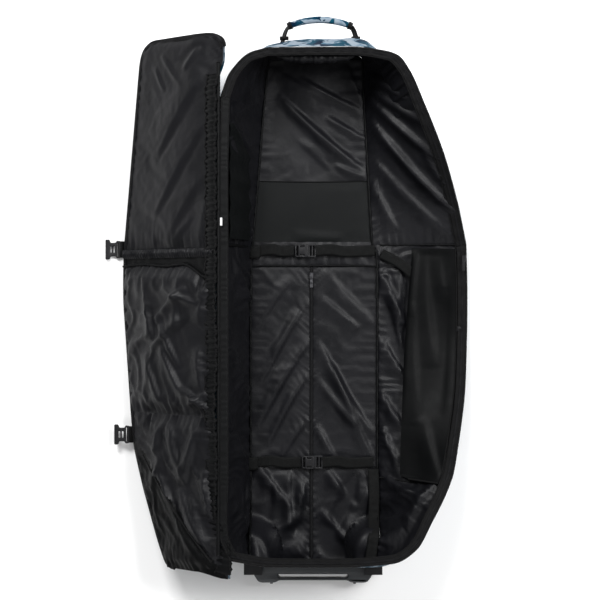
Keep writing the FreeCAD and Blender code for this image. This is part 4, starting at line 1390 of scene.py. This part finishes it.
def lid_upper():
    """The lining over the lid's head end, smooth, with a few long folds."""
    sheet = Sheet(lid_rows(LID_HEAD, LID_BAND_TOP - 2))
    sheet.folds((
        ((-290, 640), (-430, 420), 26, 9),
        ((-280, 520), (-440, 250), 24, 8),
        ((-300, 360), (-400, 180), 22, 7),
        ((-410, 690), (-350, 600), 5, 5),
        ((-430, 660), (-400, 590), 4, 5),
        ((-300, 700), (-345, 640), 6, 6),
        ((-320, 250), (-390, 160), 10, 5),
        ((-280, 300), (-300, 180), 12, 6),
    ))
    sheet.lift(6 * np.sin(sheet.across / sheet.width * math.pi) * sheet.seam_fade(30))
    sheet.pucker("l", 14, 2.6, 11, 81, 0.7)
    sheet.pucker("r", 25, 1.4, 9, 82)
    sheet.pucker("b", 15, 3.0, 13, 83)
    sheet.crumple(120, 2.0, 84)
    piece = lay("lid_upper_cloth", sheet, LINING, "lining", "lid", slack=0.004)
    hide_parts("lid_upper_lining", "lid_foam")


def lid_band():
    """The gathered elastic band across the lid, above the middle pocket."""
    strip = Sheet(lid_rows(LID_BAND_TOP - 10, LID_UPPER_SEAM - 44, 7, lift=LID_HALF - 1))
    strip.crumple(50, 4, 90)
    lay("lid_pocket_opening", strip, DULL_LINING, "lining", "lid")
    sheet = Sheet(lid_rows(LID_BAND_TOP, LID_BAND_TOP - 25, 2.6, lift=LID_HALF + 4))
    sheet.lift(6 * np.sin(sheet.along / sheet.length * math.pi))
    sheet.lift(2.2 * np.sin(sheet.across * TAU / 8.5 + 2 * waves(sheet.across, sheet.along, 60, 91)))
    lay("lid_elastic_band", sheet, LINING, "lining", "lid")


def lid_middle():
    """The middle pocket: its mouth is a hem that dips beside the hinge, and its cloth is loose."""
    rows = lid_rows(LID_UPPER_SEAM + 14, LID_LOWER_SEAM)
    beside = 1 - smooth_step(HINGE[0] - rows[..., 0], 30, 100)
    down = np.linspace(1, 0, len(rows))[:, None] ** 4
    rows[..., 1] -= (34 * beside + 3 * np.sin(rows[..., 0] / 23)) * down
    sheet = Sheet(rows)
    sheet.lift(16 * np.sin(sheet.across / sheet.width * math.pi) ** 0.7 * sheet.seam_fade(40, "tb"))
    sheet.folds((
        ((-400, 60), (-300, 10), 10, 10),
        ((-420, -30), (-330, 60), 9, 9),
        ((-350, 90), (-360, -60), 9, 8),
        ((-330, -20), (-430, -110), 12, 10),
        ((-400, -40), (-350, -160), 10, 9),
        ((-410, -80), (-330, -250), 12, 12),
        ((-450, -120), (-400, -260), 13, 9),
        ((-300, -100), (-290, -230), 9, 11),
        ((-340, -210), (-272, -270), 8, 14),
        ((-330, -260), (-275, -220), 7, 12),
        ((-440, 20), (-430, -90), 12, 8),
        ((-280, 60), (-300, -40), 9, 8),
    ))
    sheet.pucker("t", 17, 3.5, 13, 101)
    sheet.pucker("b", 17, 4.0, 14, 102)
    sheet.pucker("l", 19, 3.2, 14, 103)
    sheet.crumple(85, 5, 104)
    hem = spline(sheet.rows[0] + LID_UP * 3, 90)
    finish_piece(tube("lid_pocket_hem", hem, 3.2, 8), DULL_LINING, "lining", "lid")
    piece = lay("lid_middle_cloth", sheet, LINING, "lining", "lid", slack=0.022)
    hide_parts("lid_middle_lining")


def lid_lower():
    """The lining over the lid's foot end, loose, with folds down its length."""
    sheet = Sheet(lid_rows(LID_LOWER_SEAM, LID_FOOT))
    sheet.lift(14 * np.sin(sheet.across / sheet.width * math.pi) ** 0.7 * sheet.seam_fade(40, "tb"))
    sheet.folds((
        ((-380, -300), (-340, -460), 11, 12),
        ((-300, -310), (-340, -470), 11, 12),
        ((-285, -420), (-265, -560), 8, 14),
        ((-420, -330), (-380, -520), 13, 9),
        ((-350, -480), (-280, -640), 12, 12),
        ((-430, -400), (-300, -680), 9, 9),
        ((-320, -500), (-262, -670), 8, 10),
        ((-400, -300), (-420, -400), 10, 8),
        ((-330, -600), (-270, -690), 8, 9),
    ))
    sheet.pucker("t", 16, 4.0, 14, 111)
    sheet.pucker("l", 18, 3.4, 14, 112)
    sheet.pucker("b", 18, 2.6, 12, 113)
    sheet.crumple(90, 5, 114)
    lay_later("lid_lower_cloth", sheet, 0.02, "lid_lower_lining", "lid")


LID_HEM = ((-454, -402), (-262, -668))


def outside_hem(place):
    """Whether a place on the lower lid lies between its slanting hem and its free edge."""
    (x0, y0), (x1, y1) = LID_HEM
    return (x1 - x0) * (place[1] - y0) - (y1 - y0) * (place[0] - x0) < 0


def lid_hem():
    """The slanting bound hem across the lower lid."""
    ends = np.array([(*place, 0) for place in LID_HEM], float)
    flat = spline([ends[0], (ends[0] + ends[1]) / 2 + [-5, 4, 0], ends[1]], 90)
    out = (HINGE[0] - flat[:, 0]) / -LID_OUT[0]
    rise = 17 * np.clip(np.sin(np.linspace(0.1, 1, 90) * math.pi), 0, 1) ** 0.6
    line = lid_point(out, flat[:, 1], LID_HALF + 7 + rise)
    finish_piece(tube("lid_slant_hem", line, 2.6, 8), BINDING, "webbing", "lid")


def lid_outline(inset=0.0, lift=0.0):
    """A line round the lid's free edges, from the hinge's foot end round to its head end."""
    corners = [(9 + inset, LID_FOOT + inset), (190 - inset, LID_FOOT + inset)]
    corners += [(x - inset, y) for y, x in LID_EDGE[1:-3]]
    corners += [(285 - inset, 712 - inset * 0.4), (255, LID_HEAD - inset), (38, LID_HEAD - inset)]
    corners += [(8 + inset, 712 - inset), (8 + inset, 600)]
    flat = np.array(rounded(corners, 26)[5:-5])
    fine = spline(np.column_stack([flat, np.zeros(len(flat))]), 420, smooth=False)
    return lid_droop(lid_point(fine[:, 0], fine[:, 1], np.full(len(fine), lift)), fine[:, 0])


def lid_edges():
    """Binding round the lid, and the piping and zip teeth inside it."""
    path = spline(lid_outline(-1, 0), 420, smooth=False)
    edge = tube("lid_edge_binding", path, 4.4, 10)
    finish_piece(edge, BINDING, "webbing", "lid")
    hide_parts("lid_binding")
    inner = spline(lid_outline(7, 4.5), 420, smooth=False)
    finish_piece(tube("lid_inner_piping", inner, 2.0, 8), BINDING, "webbing", "lid")
    teeth = coil_teeth("lid_teeth", spline(lid_outline(3, 4.6), 300, smooth=False), 4.0, 3.6, LID_UP)
    finish_piece(teeth, TEETH, "black_plastic", "lid")


def hinge_ruffle():
    """The gathered strip of lining beside the hinge, bound along both its edges."""
    y = np.linspace(622, -690, 330)
    waver = 3 * np.sin(y * TAU / 47) + 2 * np.sin(y * TAU / 19.3)
    waver = waver + 5 * np.sin(y * TAU / 290 + 1) * smooth_step(-y, -140, 0)
    gathers = 2.6 * np.sin(y * TAU / 13 + 1.4 * np.sin(y * TAU / 61))
    out = np.broadcast_to(np.linspace(-3, 36, 9), (len(y), 9))
    rise = LID_HALF + 5 + 3.5 * np.sin(np.linspace(0, math.pi, 9)) + gathers[:, None]
    rows = lid_point(out + waver[:, None] * 0.8, np.broadcast_to(y[:, None], out.shape), rise)
    rows = lid_droop(rows, out)
    piece = lay("hinge_ruffle", Sheet(rows), DULL_LINING, "lining", "lid")
    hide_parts("lid_zip_tape")
    for name, offset, radius in (("inner", 38, 2.2), ("outer", 3, 2.8)):
        line = lid_point(offset + waver * 0.8, y, np.full(len(y), LID_HALF + 5.5))
        line = lid_droop(line, offset + waver * 0.8)
        finish_piece(tube(f"hinge_ruffle_{name}_edge", line, radius, 8), BINDING, "webbing", "lid")


def lid_print():
    """The printed outer face of the lid."""
    sheet = Sheet(lid_rows(LID_HEAD, LID_FOOT, 9, lift=-LID_HALF))
    sheet.lift(-4 * np.sin(sheet.across / sheet.width * math.pi) * sheet.seam_fade(50))
    piece = lay("lid_print", sheet, PRINT, "printed_fabric", "lid")
    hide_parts("lid_fabric")


def hinge_cover():
    """The piped seam that the lid hinges on."""
    y = np.linspace(652, -652, 300)
    path = np.column_stack([np.full(300, HINGE[0]), y, np.full(300, HINGE[2])])
    piece = tube("hinge_piping_cloth", path, 5.2 + 0.4 * np.sin(y * TAU / 9), 12)
    finish_piece(piece, DULL_LINING, "lining", "left_wall")
    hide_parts("hinge_piping")


# ---------------------------------------------------------------- straps and hardware
def cinch_strap(name, y, buckle_x, left_x, right_x):
    """One strap across the floor, in two halves that meet in the buckle, with a sewn loop at its left end."""
    top = FLOOR + 9
    left = [
        (left_x, y - 4, top - 1),
        (left_x * 0.65, y + 4, top + 4),
        ((left_x + buckle_x) * 0.45, y - 1, top + 2),
        (buckle_x - 34, y, top + 3),
    ]
    right = [
        (buckle_x + 24, y, top + 3),
        (buckle_x + 70, y + 3, top + 5),
        ((right_x + buckle_x) * 0.6, y - 2, top + 3),
        (right_x, y + 1, top),
    ]
    width = high(f"{name}_cinch_strap")[1] - low(f"{name}_cinch_strap")[1]
    across = (0.02, 1, 0.05)
    strap = ribbon(f"{name}_strap_left", spline(left, 60), width, 1.8, across)
    finish_piece(strap, WEBBING, "webbing", "base")
    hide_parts(f"{name}_cinch_strap")
    # The right half lies between the buckle's tongue at one end and its sewn end at the other.
    strap = ribbon(f"{name}_strap_right", spline(right, 60), width, 1.8, across)
    slack = (f"{name}_tongue", "base", (buckle_x + 32, y, top), (right_x - 12, y, top))
    finish_piece(strap, WEBBING, "webbing", None, slack)
    loop = [
        (left_x + 30, y - 3, top + 6),
        (left_x + 6, y - 4, top + 7),
        (left_x - 6, y - 5, top - 2),
        (left_x + 4, y - 5, top - 8),
    ]
    sewn = ribbon(f"{name}_strap_loop", spline(loop, 24), 36, 1.8, (0.02, 1, 0))
    finish_piece(sewn, WEBBING, "webbing", "base")


def mirrored(outline):
    """An outline's upper half and its mirror image, starting with the mirror image of the first place."""
    whole = outline + [(x, -y) for x, y in reversed(outline)]
    return whole[-1:] + whole[:-1]


def side_release_buckle(name, y, x):
    """A side-release buckle: a socket with side windows, and a tongue with springy prongs and a web bar."""
    centre = (x, y, low(f"{name}_buckle_socket")[2] + 6.5)
    half = 19
    outline = [(-31, -half + 2), (-6, -half), (5, -half + 1), (5, half - 1), (-6, half), (-31, half - 2)]
    window = rounded([(-16, -half + 4), (-5, -half + 4), (-5, -half + 9), (-16, -half + 9)], 1.5)
    other_window = [(a, -b) for a, b in window]
    web_slot = rounded([(-27, -14), (-22, -14), (-22, 14), (-27, 14)], 1.5)
    holes = [window, other_window, web_slot]
    shell = moulding(f"{name}_socket_shell", rounded(outline, 5), holes, 11, 2.0, centre, 1.5)
    finish_piece(shell, BLACK_PLASTIC, "black_plastic", "base")
    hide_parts(f"{name}_buckle_socket")
    prongs = [(-19, 4), (3, 4), (3, 9), (-14, 11), (-19, 14), (-8, 18), (6, 18.5), (27, 19)]
    bars = [rounded([(a, -14), (b, -14), (b, 14), (a, 14)], 1.5) for a, b in ((10, 15), (19, 23))]
    tongue = moulding(f"{name}_tongue_plate", rounded(mirrored(prongs), 2.2), bars, 5.5, 1.6, centre)
    finish_piece(tongue, BLACK_PLASTIC, "black_plastic", f"{name}_tongue")
    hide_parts(f"{name}_buckle_tongue")


def strap_tail():
    """The loose end of the upper strap, lying on the fallen wall."""
    top = high("upper_strap_tail")
    start = np.array([190, low("upper_strap_tail")[1] + 84, FLOOR + 12])
    end = np.array([top[0] + 2, low("upper_strap_tail")[1] + 24, top[2] + 8])
    middle = (start + end) / 2 + [0, 6, 8]
    path = spline([start, middle, end], 40)
    tail = ribbon("upper_strap_tail_webbing", path, 27, 1.8, (0.45, 0.89, 0.05))
    finish_piece(tail, WEBBING, "webbing", "right_wall")
    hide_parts("upper_strap_tail")


def side_webbing():
    """The strap that runs from the lower cinch strap over the right wheel's bump to the foot."""
    box_low, box_high = low("side_webbing"), high("side_webbing")
    x = (box_low[0] + box_high[0]) / 2 + 16
    y = np.linspace(-446, -696, 40)
    bow = x + 8 * np.sin(np.linspace(0, math.pi, 40)) + np.linspace(4, -8, 40)
    height = np.maximum(over_wheels(bow - 15, y), over_wheels(bow + 15, y))
    path = np.column_stack([bow, y, FLOOR + 12 + height])
    path[-1, 2] += 22
    path = spline(path, 90)
    strap = ribbon("side_webbing_strap", path, 30, 1.8, (1, 0.03, 0))
    finish_piece(strap, WEBBING, "webbing", "base")
    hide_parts("side_webbing")


def side_buckles():
    """Open-framed half-buckles that hang at the lid's edge, and the wide webbing they are sewn to."""
    for name in ("upper", "lower"):
        node = f"{name}_side_buckle"
        start, end = low(node), high(node)
        y = (start[1] + end[1]) / 2
        half = (end[1] - start[1]) / 2
        z = (start[2] + end[2]) / 2
        length = end[0] - start[0]
        upper = [(0, half), (11, half), (14, half - 9), (29, half - 9), (31, half - 3), (length, half - 4)]
        outline = rounded(upper + [(a, -b) for a, b in reversed(upper)], 3.0)
        holes = [rounded([(a, 9), (b, 9), (b, -9), (a, -9)], 1.5) for a, b in ((12, 17), (21, 26))]
        holes += [rounded([(33, half - 9), (37, half - 9), (37, 9 - half), (33, 9 - half)], 1.6)]
        piece = moulding(f"{name}_side_frame", outline, holes, 8, 1.8, (start[0], y, z))
        finish_piece(piece, BLACK_PLASTIC, "black_plastic", node)
        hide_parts(node)
        edge = lid_point(np.array([(HINGE[0] - end[0] - 12.5) / -LID_OUT[0]]), y, np.array([-6.0]))[0]
        sewn = edge + (HINGE * [1, 0, 1] + [0, y, 0] - edge) * 0.28 - LID_UP * 3
        line = [(start[0] + 35, y, z), (end[0] + 4, y, z), (edge[0] + 6, y, edge[2] - 2), sewn]
        strap = ribbon(f"{name}_side_strap", spline(line, 40), 46, 2.0, (0, 1, 0))
        finish_piece(strap, WEBBING, "webbing", "lid")
        if name == "upper":
            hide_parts("lid_webbing")


def grab_handle():
    """The moulded handle across the foot: thick ends, a thin bar, and a slot for the fingers."""
    node_low, node_high = low("grab_handle"), high("grab_handle")
    y0, y1 = node_low[1], node_high[1]
    half = node_high[0]
    z = (node_low[2] + node_high[2]) / 2
    right = [(half - 1, y1 + 9), (half - 5, y1 - 8), (half - 22, y0 + 3), (half - 34, y0)]
    right += [(104, y0 + 1), (94, y0 + 7)]
    around = right + [(-x, y) for x, y in reversed(right)]
    outline = rounded(around[-1:] + around[:-1], 7)
    fingers = rounded([(-98, y1 - 15), (98, y1 - 15), (92, y0 + 13), (-92, y0 + 13)], 4.5)
    piece = moulding("grab_handle_moulding", outline, [fingers], node_high[2] - node_low[2], 5, (0, 0, z))
    finish_piece(piece, GREY_PLASTIC, "grey_plastic", "base")
    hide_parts("grab_handle")


def handle_end(middle, half, sign):
    """One end of the grip: the webbing leg that comes out of it, and the binding round it."""

    def place(out, back, up=0):
        return (middle[0] + sign * (half + out), middle[1] - back, middle[2] + up)

    line = spline([place(-3, 10), place(2, 12), place(7, 14.5)], 14)
    binding = tube(f"carry_binding_{sign}", line, np.linspace(11.4, 9.6, 14), 14)
    leg = spline([place(5, 14), place(13, 28), place(18, 44), place(22, 58, 2)], 30)
    strap = ribbon(f"carry_leg_{'left' if sign < 0 else 'right'}", leg, 21, 3.2, (0.5, 0.1 * sign, 1))
    finish_piece(strap, WEBBING, "webbing", "carry_handle")
    if sign < 0:
        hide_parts("carry_handle_legs")
    return binding


def carry_handle():
    """The padded grip, arched, with a binding at each end and thin webbing legs down to the head panel."""
    grip_low, grip_high = low("carry_handle_grip"), high("carry_handle_grip")
    middle = (grip_low + grip_high) / 2
    half = (grip_high[0] - grip_low[0]) / 2
    t = np.linspace(-1, 1, 50)
    path = np.column_stack([middle[0] + t * half, middle[1] + 4 - 15 * t**2, np.full(50, middle[2])])
    radius = 9.5 * (1 - 0.12 * t**2)
    grip = tube("carry_grip", path, radius, 16)
    finish_piece(grip, PRINT, "printed_fabric", "carry_handle")
    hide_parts("carry_handle_grip")
    ends = [handle_end(middle, half, sign) for sign in (-1, 1)]
    binding = join("carry_grip_bindings", ends)
    finish_piece(binding, BINDING, "webbing", "carry_handle")
    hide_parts("carry_handle_bindings")


def label():
    """A small blank woven label on the hinge seam."""
    centre = np.array([[HINGE[0] + 8, y, HINGE[2] + 8] for y in np.linspace(241, 220, 10)])
    piece = ribbon("blank_label", centre, 6, 0.8, (1, 0, 0.3))
    look = Look("label_cloth")
    where = look.coordinates()
    look.colour(look.ramp(look.wave(where, 160, "Y"), [(0.2, (0.62, 0.62, 0.63)), (0.8, (0.8, 0.8, 0.8))]))
    look.roughness(look.grey(look.noise(where, 90, 2), 0.3, 0.7, 0.6, 0.8))
    finish_piece(piece, look.done(), "webbing", "left_wall")


def back_skin():
    """The back panel's outer fabric, with a shallow swell between the rails."""
    right = [(92, 732), (150, 690), (184, 600), (185, -640), (140, -716)]
    left = [(-x, y) for x, y in right]
    rows = floor_rows(side_of(left), side_of(right), 731, -716, 14)
    rows[..., 2] = high("base_fabric")[2] - 0.6 + 0.4 * np.sin(rows[..., 0] * TAU / 105)
    sheet = Sheet(rows)
    piece = thicken(cloth_object("back_panel_skin", sheet), 1.6)
    finish_piece(piece, DULL_LINING, "printed_fabric", "base")
    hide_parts("base_fabric")


def carried_over():
    """Finishes for the CAD pieces that stay."""
    for node, material in (
        ("skid_rails", BLACK_PLASTIC),
        ("skid_rivets", METAL),
        ("left_wheel_housing", BLACK_PLASTIC),
        ("right_wheel_housing", BLACK_PLASTIC),
        ("wheel_axles", METAL),
        ("left_tyre", RUBBER),
        ("right_tyre", RUBBER),
        ("left_hub", GREY_PLASTIC),
        ("right_hub", GREY_PLASTIC),
        ("grab_handle_screws", METAL),
        ("carry_handle_anchors", BINDING),
        ("main_slider", BLACK_PLASTIC),
        ("main_pull", BLACK_PLASTIC),
        ("pocket_slider", METAL),
        ("pocket_pull", METAL),
    ):
        thing = frame["nodes"][node]
        thing.data.materials.clear()
        thing.data.materials.append(material)


# ---------------------------------------------------------------- building it
head_lining()
smooth_panel()
strap_lining()
zip_pocket()
floor_zip()
floor_piping()
right_wall()
head_roll()
corner_bunch()
left_wall()
lid_upper()
lid_band()
lid_middle()
lid_lower()
lid_hem()
lid_edges()
hinge_ruffle()
lid_print()
hinge_cover()
back_skin()
for strap, ends in (("upper", (-176, 172)), ("lower", (-182, 168))):
    socket_low, socket_high = low(f"{strap}_buckle_socket"), high(f"{strap}_buckle_socket")
    strap_y = (socket_low[1] + socket_high[1]) / 2
    buckle = socket_low[0] + 31
    cinch_strap(strap, strap_y, buckle, *ends)
    side_release_buckle(strap, strap_y, buckle)
strap_tail()
side_webbing()
side_buckles()
grab_handle()
carry_handle()
label()
carried_over()
simulate()
finish_linings()


# ---------------------------------------------------------------- studio
def studio():
    """A pale floor, soft light from above and both sides, and the camera straight overhead."""
    reach = 6000
    corners = [(-reach, -reach, -1), (reach, -reach, -1), (reach, reach, -1), (-reach, reach, -1)]
    floor = mesh_object("studio_floor", corners, [(0, 1, 2, 3)])
    paper = Look("studio_paper", roughness=0.9, specular_ior_level=0.1)
    paper.shader.inputs["Base Color"].default_value = (0.93, 0.93, 0.93, 1)
    floor.data.materials.append(paper.done())

    world = bpy.data.worlds.new("Studio")
    bpy.context.scene.world = world
    bpy.context.scene.view_settings.view_transform = "Standard"
    world.use_nodes = True
    sky = world.node_tree.nodes["Background"]
    sky.inputs["Color"].default_value = (1, 1, 1, 1)
    sky.inputs["Strength"].default_value = 0.34

    for name, place, size, power in (
        ("key_light", (-1.25, 2.8, 3.5), 1.5, 205),
        ("side_light", (2.6, 1.2, 3.6), 1.6, 175),
        ("foot_light", (-0.6, -3.0, 3.6), 1.6, 28),
    ):
        lamp = bpy.data.lights.new(name, "AREA")
        lamp.energy = power
        lamp.size = size
        thing = bpy.data.objects.new(name, lamp)
        thing.location = place
        thing.rotation_euler = (-Vector(place)).to_track_quat("-Z", "Y").to_euler()
        bpy.context.scene.collection.objects.link(thing)

    camera = bpy.data.cameras.new("Camera")
    camera.lens = 94.3
    camera.sensor_width = 36
    thing = bpy.data.objects.new("Camera", camera)
    thing.location = (-0.036, 0.024, 4.4)
    bpy.context.scene.collection.objects.link(thing)
    bpy.context.scene.camera = thing


studio()
